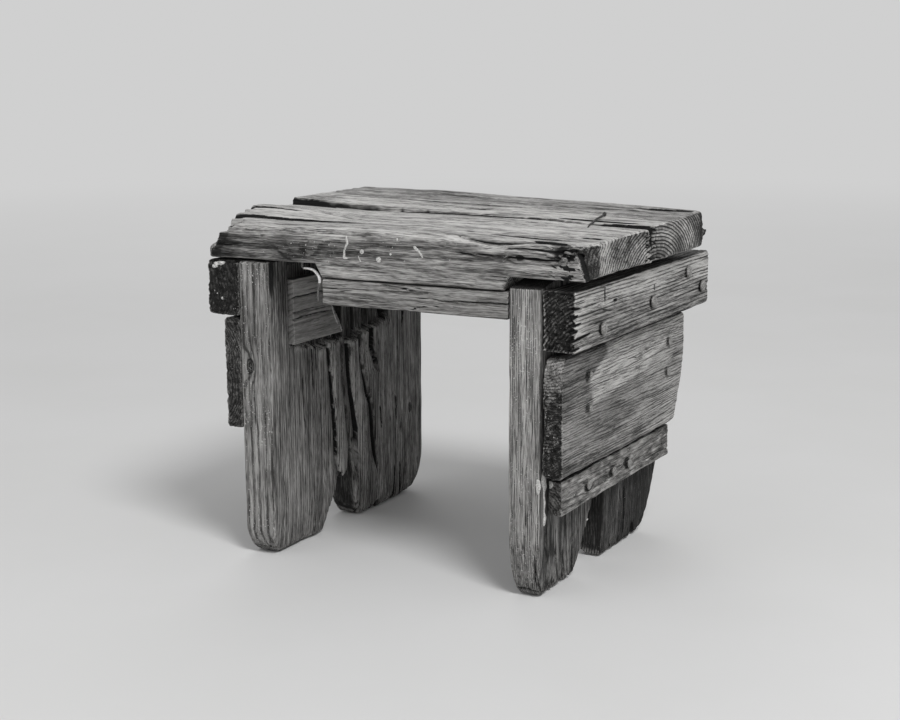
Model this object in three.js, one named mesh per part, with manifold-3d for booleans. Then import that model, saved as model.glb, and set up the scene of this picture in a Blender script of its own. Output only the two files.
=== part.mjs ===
// A low stool nailed together from weathered scrap boards, in millimetres, +Z up.
// Two upright boards stand on edge as legs, each with a cut-out that leaves two feet.
// A thick plank, rebated underneath at both ends, is nailed down on them.
// Cleats, boards and a batten are nailed across the outside of the legs.
// The origin is on the floor, under the middle of the whole stool's outline.
import * as THREE from "three";
import { mergeVertices } from "three/addons/utils/BufferGeometryUtils.js";
import Module from "manifold-3d";

const wasm = await Module();
wasm.setup();

// Driving dimensions. x runs from the left leg's outer face to the right, y from the
// legs' front edges to the back, z up from the floor.
const gap = 0.3; // between pieces that touch
const seatRest = 249; // floor to the underside of the seat's thin ends
const legSpan = 274.7; // outer face to outer face

// toe and heel are how far the front and back edges have worn away at the floor.
const leftLeg = {
  thick: 31,
  depth: 250,
  wornEdge: 3,
  toe: { length: 6, height: 22 },
  heel: { length: 14, height: 34 },
};
const rightLeg = {
  thick: 27.4,
  depth: 250,
  wornEdge: 3,
  toe: { length: 7, height: 50 },
  heel: { length: 38, height: 105 },
};
const footWear = { height: 46, side: 3 }; // both faces thin towards the floor
const leftNotch = { start: 76, width: 62, height: 66 };
const rightNotch = { start: 72, width: 74, height: 62 };
const frontDip = { depth: 6, reach: 34, height: 40 }; // the right leg's top, worn at the front

const seat = { leftOverhang: 30, rightOverhang: 38.3, depth: 247, thick: 30, wornEdge: 4 };
const rebate = { depth: 10.5, leftShoulder: 80, shoulderSlope: 5.5 };
// How far the seat's top lies above its nominal thickness, at five even steps from left
// to right, along its front arris, both lips of the heart check and the back arris.
const topLines = {
  front: [-3, -0.5, 0.5, -1.5, -4],
  checkFront: [4.5, 2, 3, 1.5, -1.5],
  checkBack: [9.5, 5.5, 4.5, 2.5, 0],
  back: [10, 10.5, 7.5, 5.5, 2],
};
const heartCheck = { fromFront: 125, leftWidth: 5.6, rightWidth: 3.8, leftDepth: 13, rightDepth: 19 };
const brokenCorner = { length: 27, depth: 37, drop: 9, slope: 7 }; // at the seat's front left
const secondLayer = { length: 17, depth: 68, rise: 3, slope: 6 }; // the step behind it
const raggedEnd = { length: 23, depth: 9, sweep: 31, floor: 11, lowLength: 6 }; // front right

const apron = { height: 19.5, depth: 24, setBack: 1.5, wornEdge: 1.5, unevenness: 1.5 };
const rightCleat = { thick: 27.3, length: 289, height: 47.5, below: 7, backTaper: 4, wornEdge: 3 };
const leftCleat = { thick: 34, length: 266, height: 48, wornEdge: 6 };
const rightBoard = { thick: 18, length: 258, height: 95, wornEdge: 5, backCut: 22, cutHeight: 62 };
const leftBoard = { thick: 17, length: 240, height: 91, wornEdge: 4 };
const batten = { thick: 11.8, length: 226, height: 28.5, setBack: 12, wornEdge: 2 };
const boardGap = 3; // the open joint between the boards on one leg

const housing = { front: 27, length: 169, floor: 175, depth: 8, raggedDrop: 14 };
const patch = { fromHousing: 4, length: 76, height: 55.5, proud: 2.2, backSlope: 28 };
const patchSplits = { heights: [0.39, 0.48, 0.71], width: 1.2, depth: 2 }; // heights as shares

// A straight nail has a shank, a head and a tapered point.
const nail = { shank: 2, head: 4.6, headHeight: 1.8, point: 6 };
const tack = { shank: 1.5, head: 3.2, headHeight: 1.2, point: 4.5 };
const nailSides = 8;
const woodBeyondPoint = 3; // a side nail stops this far short of the leg's inner face
const seatNail = { length: 62, sunk: 1.6 };
const overhangNail = { fromBack: 19, drop: 0.63 };
const apronNailLength = 40;
const hookedWire = { radius: 1.25, fromShoulder: 19, fromFront: 4.6, rooted: 13, lean: 2.2 };
const bentNail = { radius: 1.8, head: 3.9, headHeight: 1.8, length: 48, rooted: 12, lean: -3.5 };
const bentNailFromCheck = 17; // it stands this far in front of the heart check

// Places that follow from the sizes above.
const seatTopMid = seatRest + seat.thick;
const seatBelly = seatRest - rebate.depth;
const seatLeft = -seat.leftOverhang;
const seatRight = legSpan + seat.rightOverhang;
const seatWidth = seatRight - seatLeft;
const rightLegInner = legSpan - rightLeg.thick;
const rightFace = legSpan + gap; // the outside boards' inner faces
const leftFace = -gap;
const legTop = seatRest - gap;
const rightCleatTop = seatRest - rightCleat.below;
const rightCleatFoot = rightCleatTop - rightCleat.height;
const rightBoardTop = rightCleatFoot - boardGap;
const rightBoardFoot = rightBoardTop - rightBoard.height;
const battenTop = rightBoardFoot - boardGap;
const battenFoot = battenTop - batten.height;
const leftCleatTop = seatRest - gap;
const leftCleatFoot = leftCleatTop - leftCleat.height;
const leftBoardTop = leftCleatFoot - boardGap;
const leftBoardFoot = leftBoardTop - leftBoard.height;
const apronTop = seatBelly - gap;
const apronFoot = apronTop - apron.height;

const over = 2; // how far a cutter runs past the face that it opens
const clear = 20; // how far a cutter runs past a whole side

// Materials.

function wood(grey) {
  return new THREE.MeshStandardMaterial({ color: new THREE.Color(grey, grey, grey), roughness: 0.92 });
}

function iron(grey) {
  const color = new THREE.Color(grey, grey, grey);
  return new THREE.MeshStandardMaterial({ color, roughness: 0.6, metalness: 0.7 });
}

const seatWood = wood(0.42);
const legWood = wood(0.34);
const boardWood = wood(0.3);
const patchWood = wood(0.16);
const rustyIron = iron(0.16);
const brightIron = iron(0.6);

// Turning geometry into solids and solids into named meshes.

const stool = new THREE.Group();

function toSolid(geometry) {
  const g = geometry.clone();
  g.deleteAttribute("normal");
  g.deleteAttribute("uv");
  const merged = mergeVertices(g, 1e-4);
  const vertProperties = new Float32Array(merged.attributes.position.array);
  const triVerts = new Uint32Array(merged.index.array);
  return new wasm.Manifold(new wasm.Mesh({ numProp: 3, vertProperties, triVerts }));
}

function toGeometry(solid) {
  const mesh = solid.getMesh();
  const g = new THREE.BufferGeometry();
  g.setAttribute("position", new THREE.BufferAttribute(new Float32Array(mesh.vertProperties), 3));
  g.setIndex(new THREE.BufferAttribute(new Uint32Array(mesh.triVerts), 1));
  g.computeVertexNormals();
  return g;
}

function addPiece(name, solid, material) {
  const mesh = new THREE.Mesh(toGeometry(solid), material);
  mesh.name = name;
  stool.add(mesh);
}

const cutAll = (solid, cutters) => cutters.reduce((left, cutter) => left.subtract(cutter), solid);

// Boards: a box on a grid of lines, whose points can be moved one by one.

const axisX = new THREE.Vector3(1, 0, 0);
const axisY = new THREE.Vector3(0, 1, 0);
const axisZ = new THREE.Vector3(0, 0, 1);
const toLeft = axisX.clone().negate();
const downward = axisZ.clone().negate();

// Even grid lines from a to b, with one more line at the worn edge's width from each end.
function lines(a, b, edge, count) {
  const span = b - a - 2 * edge;
  const inner = Array.from({ length: count + 1 }, (_, i) => a + edge + (span * i) / count);
  return [a, ...inner, b];
}

// shape(point, u, v, w) moves a point; u, v and w run from 0 to 1 across the board.
// Before that, every arris and corner is drawn in, so that it is rounded by edge.
function board(xs, ys, zs, edge, shape = () => {}) {
  const grid = [xs, ys, zs];
  const counts = grid.map((axis) => axis.length - 1);
  const box = new THREE.BoxGeometry(1, 1, 1, ...counts);
  box.deleteAttribute("normal");
  box.deleteAttribute("uv");
  const g = mergeVertices(box, 1e-5);
  const at = g.attributes.position;
  const p = new THREE.Vector3();
  for (let i = 0; i < at.count; i++) {
    const unit = [at.getX(i), at.getY(i), at.getZ(i)];
    const index = unit.map((c, k) => Math.round((c + 0.5) * counts[k]));
    p.set(...index.map((n, k) => grid[k][n]));
    const inward = index.map((n, k) => (n === 0 ? 1 : n === counts[k] ? -1 : 0));
    const sides = inward.filter((step) => step !== 0).length;
    if (sides > 1) {
      p.add(new THREE.Vector3(...inward).multiplyScalar(edge * (1 - 1 / Math.sqrt(sides))));
    }
    shape(p, ...index.map((n, k) => n / counts[k]));
    at.setXYZ(i, p.x, p.y, p.z);
  }
  return toSolid(g);
}

// Prisms: a flat outline run along one axis.

function prism(points, length, basis, origin) {
  const shape = new THREE.Shape(points.map(([a, b]) => new THREE.Vector2(a, b)));
  const g = new THREE.ExtrudeGeometry(shape, { depth: length, bevelEnabled: false, steps: 1 });
  g.applyMatrix4(new THREE.Matrix4().makeBasis(...basis));
  g.translate(...origin);
  return toSolid(g);
}

const towardFront = axisY.clone().negate();
const alongX = (points, x0, x1) => prism(points, x1 - x0, [axisY, axisZ, axisX], [x0, 0, 0]);
const alongY = (points, y0, y1) => prism(points, y1 - y0, [axisX, axisZ, towardFront], [0, y1, 0]);
const alongZ = (points, z0, z1) => prism(points, z1 - z0, [axisX, axisY, axisZ], [0, 0, z0]);

// The outline of a drying split: a path that opens to its width and closes at its ends.
function splitOutline(path, width) {
  const tipShare = 0.12;
  const sides = [[], []];
  path.forEach(([a, b], i) => {
    const before = path[Math.max(0, i - 1)];
    const after = path[Math.min(path.length - 1, i + 1)];
    const run = Math.hypot(after[0] - before[0], after[1] - before[1]);
    const swell = Math.sqrt(Math.sin((Math.PI * i) / (path.length - 1)) + 1e-9);
    const half = (width / 2) * (tipShare + (1 - tipShare) * swell);
    const across = [(-half * (after[1] - before[1])) / run, (half * (after[0] - before[0])) / run];
    sides[0].push([a - across[0], b - across[1]]);
    sides[1].unshift([a + across[0], b + across[1]]);
  });
  return sides.flat();
}

// Splits that open on a board's face square to +x, cut from the face inward by depth. Their
// paths are shares of the board's length in y and of its height in z, up from its foot.
function sideSplits(face, extent, splits) {
  return splits.map(({ path, width, depth }) => {
    const place = ([a, b]) => [extent.front + a * extent.length, extent.foot + b * extent.height];
    const points = path.map(place);
    return alongX(splitOutline(points, width), face - depth, face + over);
  });
}

// Nails.

const turnTo = (direction) => new THREE.Quaternion().setFromUnitVectors(axisY, direction);

function rod(radius, from, direction, length, sides = nailSides) {
  const g = new THREE.CylinderGeometry(radius, radius, length, sides);
  g.translate(0, -length / 2, 0);
  g.applyQuaternion(turnTo(direction));
  g.translate(from.x, from.y, from.z);
  return toSolid(g);
}

// direction points out of the wood, and point is under the head.
function nailBody(kind, point, direction, length) {
  const profile = [
    [0, -length],
    [kind.shank, -length + kind.point],
    [kind.shank, 0],
    [kind.head, 0],
    [kind.head, kind.headHeight * 0.5],
    [kind.head * 0.5, kind.headHeight],
    [0, kind.headHeight],
  ];
  const g = new THREE.LatheGeometry(profile.map(([r, h]) => new THREE.Vector2(r, h)), nailSides);
  g.applyQuaternion(turnTo(direction));
  g.translate(point.x, point.y, point.z);
  return toSolid(g);
}

const nails = [];

// A sunk nail's head lies below the face, at the bottom of a hole of its own.
function drive(name, kind, face, direction, length, sunk = 0) {
  const under = face.clone().addScaledVector(direction, gap - sunk - (sunk > 0 ? kind.headHeight : 0));
  const start = under.clone().addScaledVector(direction, over);
  const cuts = [rod(kind.shank + gap, start, direction, length + over + gap)];
  if (sunk > 0) {
    const mouth = face.clone().addScaledVector(direction, over);
    cuts.push(rod(kind.head + gap, mouth, direction, over + sunk + kind.headHeight));
  }
  nails.push({ name, body: nailBody(kind, under, direction, length), cuts });
}

// A round wire swept along a curve through points.
function wire(points, radius, steps) {
  const curve = new THREE.CatmullRomCurve3(points.map((p) => new THREE.Vector3(...p)), false, "centripetal");
  const ring = Array.from({ length: nailSides }, (_, i) => (2 * Math.PI * i) / nailSides);
  const onRing = (angle) => new THREE.Vector2(radius * Math.cos(angle), radius * Math.sin(angle));
  const section = new THREE.Shape(ring.map(onRing));
  return toSolid(new THREE.ExtrudeGeometry(section, { steps, extrudePath: curve, bevelEnabled: false }));
}

// The legs.

function wornAway(z, { length, height }) {
  return length * Math.max(0, 1 - z / height) ** 1.7;
}

function legBlank(size, low, high, topShape = () => {}) {
  const bottom = -over;
  const shares = [0.025, 0.06, 0.11, 0.18, 0.28, 0.42, 0.62, 0.84];
  const heights = [bottom, ...shares.map((s) => s * legTop), legTop - size.wornEdge, legTop];
  const ys = lines(0, size.depth, size.wornEdge, 8);
  const body = board(lines(low, high, size.wornEdge, 2), ys, heights, size.wornEdge, (p) => {
    const thinning = footWear.side * Math.max(0, 1 - p.z / footWear.height) ** 2;
    const side = (p.x - (low + high) / 2) / ((high - low) / 2);
    const back = p.y / size.depth;
    p.x -= thinning * side;
    p.y += (1 - back) * wornAway(p.z, size.toe) - back * wornAway(p.z, size.heel);
    topShape(p);
  });
  const ground = [[low, -clear], [high, -clear], [high, size.depth + clear], [low, size.depth + clear]];
  return body.subtract(alongZ(ground, -clear, 0));
}

// The cut-out between a leg's two feet, as shares of its width and height from its start.
const leftNotchShape = [
  [-0.06, -0.1], [0.11, 0.16], [0.37, 0.6], [0.44, 0.67], [0.52, 0.63], [0.6, 0.67], [0.7, 0.86],
  [0.77, 1], [0.83, 0.94], [0.87, 0.68], [0.9, 0.38], [0.95, 0.18], [1.06, 0.05], [1.28, -0.1],
];
const rightNotchShape = [
  [-0.06, -0.1], [0.1, 0.08], [0.33, 0.57], [0.41, 0.8], [0.46, 0.96], [0.55, 1], [0.68, 0.98],
  [0.77, 0.9], [0.83, 0.55], [0.87, 0.19], [0.95, 0.04], [1.05, -0.1],
];

function notchCut(size, shape, low, high) {
  const points = shape.map(([a, b]) => [size.start + a * size.width, b * size.height]);
  return alongX(points, low - over, high + over);
}

// The housing near the top of the left leg's inner face. Its lower edge is level under the
// patch and broken into slats behind it, as shares of its length and of the ragged drop.
const housingEdge = [
  [0, 0], [0.39, 0], [0.4, 0.45], [0.46, 0.5], [0.5, 0.95], [0.54, 0.65], [0.57, 1], [0.66, 0.65],
  [0.67, 0.85], [0.77, 0.35], [0.82, 0.6], [0.85, -0.2], [0.97, -0.35], [1, -2],
];

function housingCut(face) {
  const { front, length, floor, raggedDrop, depth } = housing;
  const edge = housingEdge.map(([a, b]) => [front + a * length, floor - b * raggedDrop]);
  const top = legTop + over;
  return alongX([...edge, [front + length, top], [front, top]], face - depth, face + over);
}

const leftLegSplits = [
  { width: 2.4, depth: 9, path: [[0.37, 0.69], [0.385, 0.58], [0.39, 0.46], [0.41, 0.32], [0.42, 0.21]] },
  { width: 4.2, depth: 11, path: [[0.455, 0.67], [0.47, 0.575], [0.485, 0.45], [0.5, 0.335], [0.505, 0.28]] },
  {
    width: 4.6,
    depth: 12,
    path: [[0.66, 0.69], [0.65, 0.6], [0.625, 0.495], [0.63, 0.41], [0.655, 0.33], [0.67, 0.21], [0.69, 0.09]],
  },
  { width: 2.2, depth: 7, path: [[0.59, 0.655], [0.6, 0.565], [0.61, 0.46]] },
  { width: 2.2, depth: 5, path: [[0.8, 0.41], [0.81, 0.34], [0.805, 0.26]] },
  { width: 2.4, depth: 7, path: [[0.8, 0.14], [0.795, 0.065], [0.795, -0.02]] },
  { width: 2.2, depth: 7, path: [[0.845, 0.15], [0.84, 0.07], [0.84, -0.02]] },
];
const rightLegSplits = [
  { width: 4, depth: 8, path: [[0.19, 0.07], [0.19, 0.03], [0.195, -0.02]] },
  { width: 3, depth: 7, path: [[0.25, 0.13], [0.255, 0.065], [0.265, -0.02]] },
  { width: 1.8, depth: 4, path: [[0.12, 0.24], [0.125, 0.14], [0.13, 0.05]] },
  { width: 6, depth: 9, path: [[0.76, 0.055], [0.77, 0.02], [0.775, -0.02]] },
  { width: 1.6, depth: 4, path: [[0.67, 0.21], [0.68, 0.12], [0.685, 0.03]] },
];

const legExtent = (size) => ({ front: 0, length: size.depth, foot: 0, height: legTop });

function makeLeftLeg() {
  const face = leftLeg.thick;
  const notch = notchCut(leftNotch, leftNotchShape, 0, face);
  const splits = sideSplits(face, legExtent(leftLeg), leftLegSplits);
  return cutAll(legBlank(leftLeg, 0, face), [notch, housingCut(face), ...splits]);
}

function makeRightLeg() {
  const dip = (p) => {
    const high = Math.max(0, 1 - (legTop - p.z) / frontDip.height);
    p.z -= frontDip.depth * high * Math.max(0, 1 - p.y / frontDip.reach);
  };
  const notch = notchCut(rightNotch, rightNotchShape, rightLegInner, legSpan);
  const splits = sideSplits(legSpan, legExtent(rightLeg), rightLegSplits);
  return cutAll(legBlank(rightLeg, rightLegInner, legSpan, dip), [notch, ...splits]);
}

// The seat.

function along(values, share) {
  const s = Math.min(Math.max(share, 0), 1) * (values.length - 1);
  const i = Math.min(Math.floor(s), values.length - 2);
  return THREE.MathUtils.lerp(values[i], values[i + 1], s - i);
}

function seatTop(x, y) {
  const t = (x - seatLeft) / seatWidth;
  const check = heartCheck.fromFront;
  if (y < check) {
    const s = Math.sqrt(Math.max(y, 0) / check);
    return seatTopMid + THREE.MathUtils.lerp(along(topLines.front, t), along(topLines.checkFront, t), s);
  }
  const s = (y - check) / (seat.depth - check);
  return seatTopMid + THREE.MathUtils.lerp(along(topLines.checkBack, t), along(topLines.back, t), s);
}

function seatBlank() {
  const check = heartCheck.fromFront;
  const lip = heartCheck.rightWidth / 3;
  const edge = seat.wornEdge;
  const front = [0, 1, 2, 3].map((i) => edge + ((check - lip - edge) * i) / 4);
  const back = [0, 1, 2, 3].map((i) => check + lip + ((seat.depth - edge - check - lip) * i) / 3);
  const ys = [0, ...front, check - lip, ...back, seat.depth];
  const zs = [seatBelly, seatRest, seatRest + seat.thick * 0.55, seatTopMid];
  const swell = 1.2; // the sawn ends are not quite straight
  return board(lines(seatLeft, seatRight, edge, 12), ys, zs, edge, (p, u, v) => {
    const share = Math.max(0, (p.z - seatRest) / seat.thick);
    p.z += share * (seatTop(p.x, p.y) - seatTopMid);
    const wave = swell * (1 + Math.sin(v * 7));
    if (u === 1) p.x -= wave;
    if (u === 0) p.x += wave / 2;
  });
}

// The thin ends that lie on the legs, left between the rebates and the top.
function rebateCuts() {
  const low = seatBelly - over;
  const { leftShoulder: s, shoulderSlope: slope } = rebate;
  const outer = seatLeft - clear;
  const left = [[outer, low], [s + 1, low], [s, seatBelly], [s - slope, seatRest], [outer, seatRest]];
  const wall = rightLegInner - gap;
  const right = [[wall, low], [seatRight + clear, low], [seatRight + clear, seatRest], [wall, seatRest]];
  return [left, right].map((outline) => alongY(outline, -clear, seat.depth + clear));
}

// The layers that have broken away at the seat's front corners.
function cornerCuts() {
  const top = seatTopMid + clear;
  const cornerFloor = seatTopMid - brokenCorner.drop;
  const outer = seatLeft - clear;
  const cornerEnd = seatLeft + brokenCorner.length;
  const cornerInner = cornerEnd - brokenCorner.slope;
  const corner = [[outer, cornerFloor], [cornerInner, cornerFloor], [cornerEnd, top], [outer, top]];
  const layerFloor = seatTopMid + secondLayer.rise;
  const layerEnd = seatLeft + secondLayer.length;
  const layer = [[outer, layerFloor], [layerEnd, layerFloor], [layerEnd + secondLayer.slope, top], [outer, top]];
  const { length, depth, sweep, floor, lowLength } = raggedEnd;
  const far = seatRight + clear;
  const beyond = [[seatRight + over, sweep], [far, sweep], [far, -clear]];
  const rotted = [
    [seatRight - length, -clear], [seatRight - length * 0.74, depth / 2], [seatRight - length * 0.65, depth],
    [seatRight - length * 0.37, depth * 1.4], ...beyond,
  ];
  const low = seatRight - lowLength;
  const foot = [[seatRight - lowLength / 2, -clear], [low, depth / 3], [low, depth], ...beyond];
  const split = seatRest + floor;
  return [
    alongY(corner, -clear, brokenCorner.depth),
    alongY(layer, brokenCorner.depth - over, secondLayer.depth),
    alongZ(rotted, split, top),
    alongZ(foot, seatRest - clear, split + over / 2),
  ];
}

// Checks and splits that open on the top. Their paths are shares of the seat's width from
// its left end and of its depth, from the heart check or from the front.
function topSplits() {
  const { fromFront, leftWidth, rightWidth, leftDepth, rightDepth } = heartCheck;
  const leftCheck = [[-0.02, 0], [0.07, 0.004], [0.19, -0.008], [0.36, -0.004]];
  const rightCheck = [[0.67, 0], [0.8, -0.004], [0.93, 0.004], [1.04, 0]];
  const splits = [
    { from: fromFront, width: leftWidth, depth: leftDepth, path: leftCheck },
    { from: fromFront, width: rightWidth, depth: rightDepth, path: rightCheck },
    { from: fromFront, width: 2, depth: 2, path: [[0.09, 0.004], [0.125, 0.057], [0.17, 0.1]] },
    { from: 0, width: 2.2, depth: 5, path: [[-0.01, 0.17], [0.09, 0.178], [0.22, 0.166], [0.33, 0.174]] },
    { from: 0, width: 4, depth: 2, path: [[0.88, 0.927], [0.936, 0.951], [0.983, 0.968]] },
  ];
  return splits.map(({ from, width, depth, path }) => {
    const points = path.map(([a, b]) => [seatLeft + a * seatWidth, from + b * seat.depth]);
    return alongZ(splitOutline(points, width), seatTopMid - depth, seatTopMid + clear);
  });
}

// Boards on the outside of the legs, and the small pieces under the seat.

function makeApron() {
  const { setBack, depth, wornEdge, unevenness } = apron;
  const xs = lines(rebate.leftShoulder - gap, rightLegInner - gap, wornEdge, 6);
  const ys = lines(setBack, setBack + depth, wornEdge, 2);
  return board(xs, ys, lines(apronFoot, apronTop, wornEdge, 1), wornEdge, (p, u, v, w) => {
    if (w < 0.5) p.z += unevenness * (Math.sin(u * 7) - 0.4 * u);
  });
}

function makeRightCleat() {
  const { thick, length, wornEdge, backTaper } = rightCleat;
  const outer = rightFace + thick;
  const ends = { front: 1.5, back: 2.5 }; // how unevenly the ends are sawn
  const xs = lines(rightFace, outer, wornEdge, 2);
  const zs = lines(rightCleatFoot, rightCleatTop, wornEdge, 3);
  const body = board(xs, lines(0, length, wornEdge, 10), zs, wornEdge, (p, u, v, w) => {
    if (w < 0.3) p.z += backTaper * v;
    if (v === 0) p.y += ends.front * Math.abs(Math.sin(u * 5 + w * 9));
    if (v === 1) p.y -= ends.back * Math.abs(Math.sin(u * 4 + w * 7));
  });
  const extent = { front: 0, length, foot: rightCleatFoot, height: rightCleat.height };
  const splits = sideSplits(outer, extent, [
    { width: 1.6, depth: 2, path: [[0.152, 0.92], [0.159, 0.75], [0.163, 0.58]] },
    { width: 1.8, depth: 4, path: [[-0.014, 0.19], [0.048, 0.21], [0.104, 0.25]] },
  ]);
  return cutAll(body, splits);
}

function makeLeftCleat() {
  const { thick, length, wornEdge } = leftCleat;
  const xs = lines(leftFace - thick, leftFace, wornEdge, 2);
  const zs = lines(leftCleatFoot, leftCleatTop, wornEdge, 3);
  const hollow = 1.6;
  return board(xs, lines(0, length, wornEdge, 9), zs, wornEdge, (p, u, v) => {
    if (u < 0.3) p.x += hollow * Math.abs(Math.sin(v * 9));
  });
}

function makeRightBoard() {
  const { thick, length, wornEdge, backCut, cutHeight } = rightBoard;
  const xs = lines(rightFace, rightFace + thick, wornEdge, 1);
  const zs = lines(rightBoardFoot, rightBoardTop, wornEdge, 5);
  return board(xs, lines(0, length, wornEdge, 9), zs, wornEdge, (p) => {
    const low = Math.max(0, 1 - (p.z - rightBoardFoot) / cutHeight);
    const back = Math.max(0, (2 * p.y) / length - 1);
    p.y -= backCut * low ** 1.4 * back;
  });
}

function makeLeftBoard() {
  const { thick, length, wornEdge } = leftBoard;
  const xs = lines(leftFace - thick, leftFace, wornEdge, 1);
  const zs = lines(leftBoardFoot, leftBoardTop, wornEdge, 2);
  return board(xs, lines(0, length, wornEdge, 4), zs, wornEdge);
}

function makeBatten() {
  const { thick, length, setBack, wornEdge } = batten;
  const outer = rightFace + thick;
  const unevenness = 1.2;
  const ys = lines(setBack, setBack + length, wornEdge, 9);
  const zs = lines(battenFoot, battenTop, wornEdge, 2);
  const body = board(lines(rightFace, outer, wornEdge, 1), ys, zs, wornEdge, (p, u, v, w) => {
    if (w < 0.3) p.z += unevenness * Math.abs(Math.sin(v * 8));
    if (v === 0) p.y += unevenness * w;
  });
  const extent = { front: setBack, length, foot: battenFoot, height: batten.height };
  const path = [[-0.018, 0.4], [0.053, 0.37], [0.115, 0.47]];
  return cutAll(body, sideSplits(outer, extent, [{ width: 1.8, depth: 3, path }]));
}

// The patch's back edge is broken off at a slant, as shares of its slope and height.
const patchBack = [[0, 0], [0.18, 0.2], [0.45, 0.38], [0.7, 0.55], [0.85, 0.75], [1, 1]];

function makePatch() {
  const face = leftLeg.thick + patch.proud;
  const front = housing.front + patch.fromHousing;
  const foot = housing.floor + gap;
  const back = front + patch.length;
  const slant = patchBack.map(([a, b]) => [back - a * patch.backSlope, foot + b * patch.height]);
  const outline = [[front, foot], ...slant, [front, foot + patch.height]];
  const body = alongX(outline, leftLeg.thick - housing.depth + gap, face);
  const extent = { front, length: patch.length, foot, height: patch.height };
  const splits = patchSplits.heights.map((share) => {
    const path = [[-0.05, share], [0.26, share + 0.007], [0.8, share]];
    return { path, width: patchSplits.width, depth: patchSplits.depth };
  });
  return cutAll(body, sideSplits(face, extent, splits));
}

const makeSeat = () => cutAll(seatBlank(), [...rebateCuts(), ...cornerCuts(), ...topSplits()]);

// Every board, before its nail holes are bored.
const boards = {
  seat_plank: { solid: makeSeat(), material: seatWood },
  left_leg: { solid: makeLeftLeg(), material: legWood },
  right_leg: { solid: makeRightLeg(), material: legWood },
  front_apron: { solid: makeApron(), material: seatWood },
  right_top_cleat: { solid: makeRightCleat(), material: boardWood },
  left_top_cleat: { solid: makeLeftCleat(), material: boardWood },
  right_side_board: { solid: makeRightBoard(), material: boardWood },
  left_side_board: { solid: makeLeftBoard(), material: boardWood },
  right_low_batten: { solid: makeBatten(), material: boardWood },
  housed_patch: { solid: makePatch(), material: patchWood },
};

// Side nails, each as a share of the leg's depth and of the board's height from its top.
function driveRow(prefix, size, top, leg, places) {
  const onRight = leg === rightLeg;
  const face = onRight ? rightFace + size.thick : leftFace - size.thick;
  const legWood = onRight ? leg.thick : leg.thick - housing.depth;
  const length = size.thick + legWood - woodBeyondPoint;
  places.forEach(([share, drop], i) => {
    const head = new THREE.Vector3(face, share * leg.depth, top - drop * size.height);
    drive(`${prefix}_nail_${i + 1}`, nail, head, onRight ? axisX : toLeft, length);
  });
}

const rightBoardNails = [[0.2, 0.22], [0.2, 0.5], [0.87, 0.22], [0.86, 0.5]];
const leftBoardNails = [[0.16, 0.22], [0.17, 0.77], [0.78, 0.24], [0.78, 0.79]];
driveRow("right_cleat", rightCleat, rightCleatTop, rightLeg, [[0.21, 0.73], [0.62, 0.59], [0.94, 0.28]]);
driveRow("right_board", rightBoard, rightBoardTop, rightLeg, rightBoardNails);
driveRow("right_batten", batten, battenTop, rightLeg, [[0.25, 0.49], [0.45, 0.51], [0.58, 0.53]]);
driveRow("left_cleat", leftCleat, leftCleatTop, leftLeg, [[0.18, 0.5], [0.53, 0.38], [0.89, 0.52]]);
driveRow("left_board", leftBoard, leftBoardTop, leftLeg, leftBoardNails);

// The cleat's last nail is in the end that overhangs the leg's back edge.
const overhang = new THREE.Vector3(
  rightFace + rightCleat.thick,
  rightCleat.length - overhangNail.fromBack,
  rightCleatTop - overhangNail.drop * rightCleat.height,
);
drive("right_cleat_nail_4", nail, overhang, axisX, rightCleat.thick - woodBeyondPoint);

// The seat's nails go down into the legs' top ends, as shares of the leg's depth.
const leftNailLine = (leftLeg.thick - housing.depth) / 2;
const rightNailLine = legSpan - rightLeg.thick / 2;
const seatNails = [
  { prefix: "seat_left", x: leftNailLine, leg: leftLeg, shares: [0.36, 0.82] },
  { prefix: "seat_right", x: rightNailLine, leg: rightLeg, shares: [0.26, 0.84] },
];
for (const { prefix, x, leg, shares } of seatNails) {
  shares.forEach((share, i) => {
    const y = share * leg.depth;
    const top = new THREE.Vector3(x, y, seatTop(x, y));
    drive(`${prefix}_nail_${i + 1}`, nail, top, axisZ, seatNail.length, seatNail.sunk);
  });
}

// Two nails hold the apron up to the seat from below.
[0.2, 0.8].forEach((share, i) => {
  const x = THREE.MathUtils.lerp(rebate.leftShoulder, rightLegInner, share);
  const lift = apron.unevenness * (Math.sin(share * 7) - 0.4 * share);
  const under = new THREE.Vector3(x, apron.setBack + apron.depth / 2, apronFoot + Math.min(lift, 0) - gap);
  drive(`apron_nail_${i + 1}`, tack, under, downward, apronNailLength);
});

// The hooked wire nail comes out of the thin end's underside and turns down the apron's end.
function makeHookedNail() {
  const { radius, fromShoulder, fromFront, rooted, lean } = hookedWire;
  const x = rebate.leftShoulder - fromShoulder;
  const down = rebate.leftShoulder - gap - radius * 2 - gap;
  const at = (share, leaning, z) => [x + share * (down - x), fromFront - leaning * lean, z];
  const fall = (share) => seatRest - share * rebate.depth;
  const points = [
    at(0, 0, seatRest + rooted), at(0, 0, seatRest + rooted * 0.3), at(0.04, 0.1, fall(0.1)),
    at(0.31, 0.4, fall(0.34)), at(0.66, 0.6, fall(0.63)), at(0.95, 0.9, fall(1.05)),
    at(1, 1, fall(1.5)), at(1, 1, apronFoot + radius),
  ];
  const bore = rod(radius + gap * 2, new THREE.Vector3(x, fromFront, seatRest + rooted + gap), axisZ, clear);
  const mouth = rod(radius * 2.4, new THREE.Vector3(x + radius, fromFront, seatRest + over), axisZ, over * 2);
  return { body: wire(points, radius, 26), cuts: [bore, mouth] };
}

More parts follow.
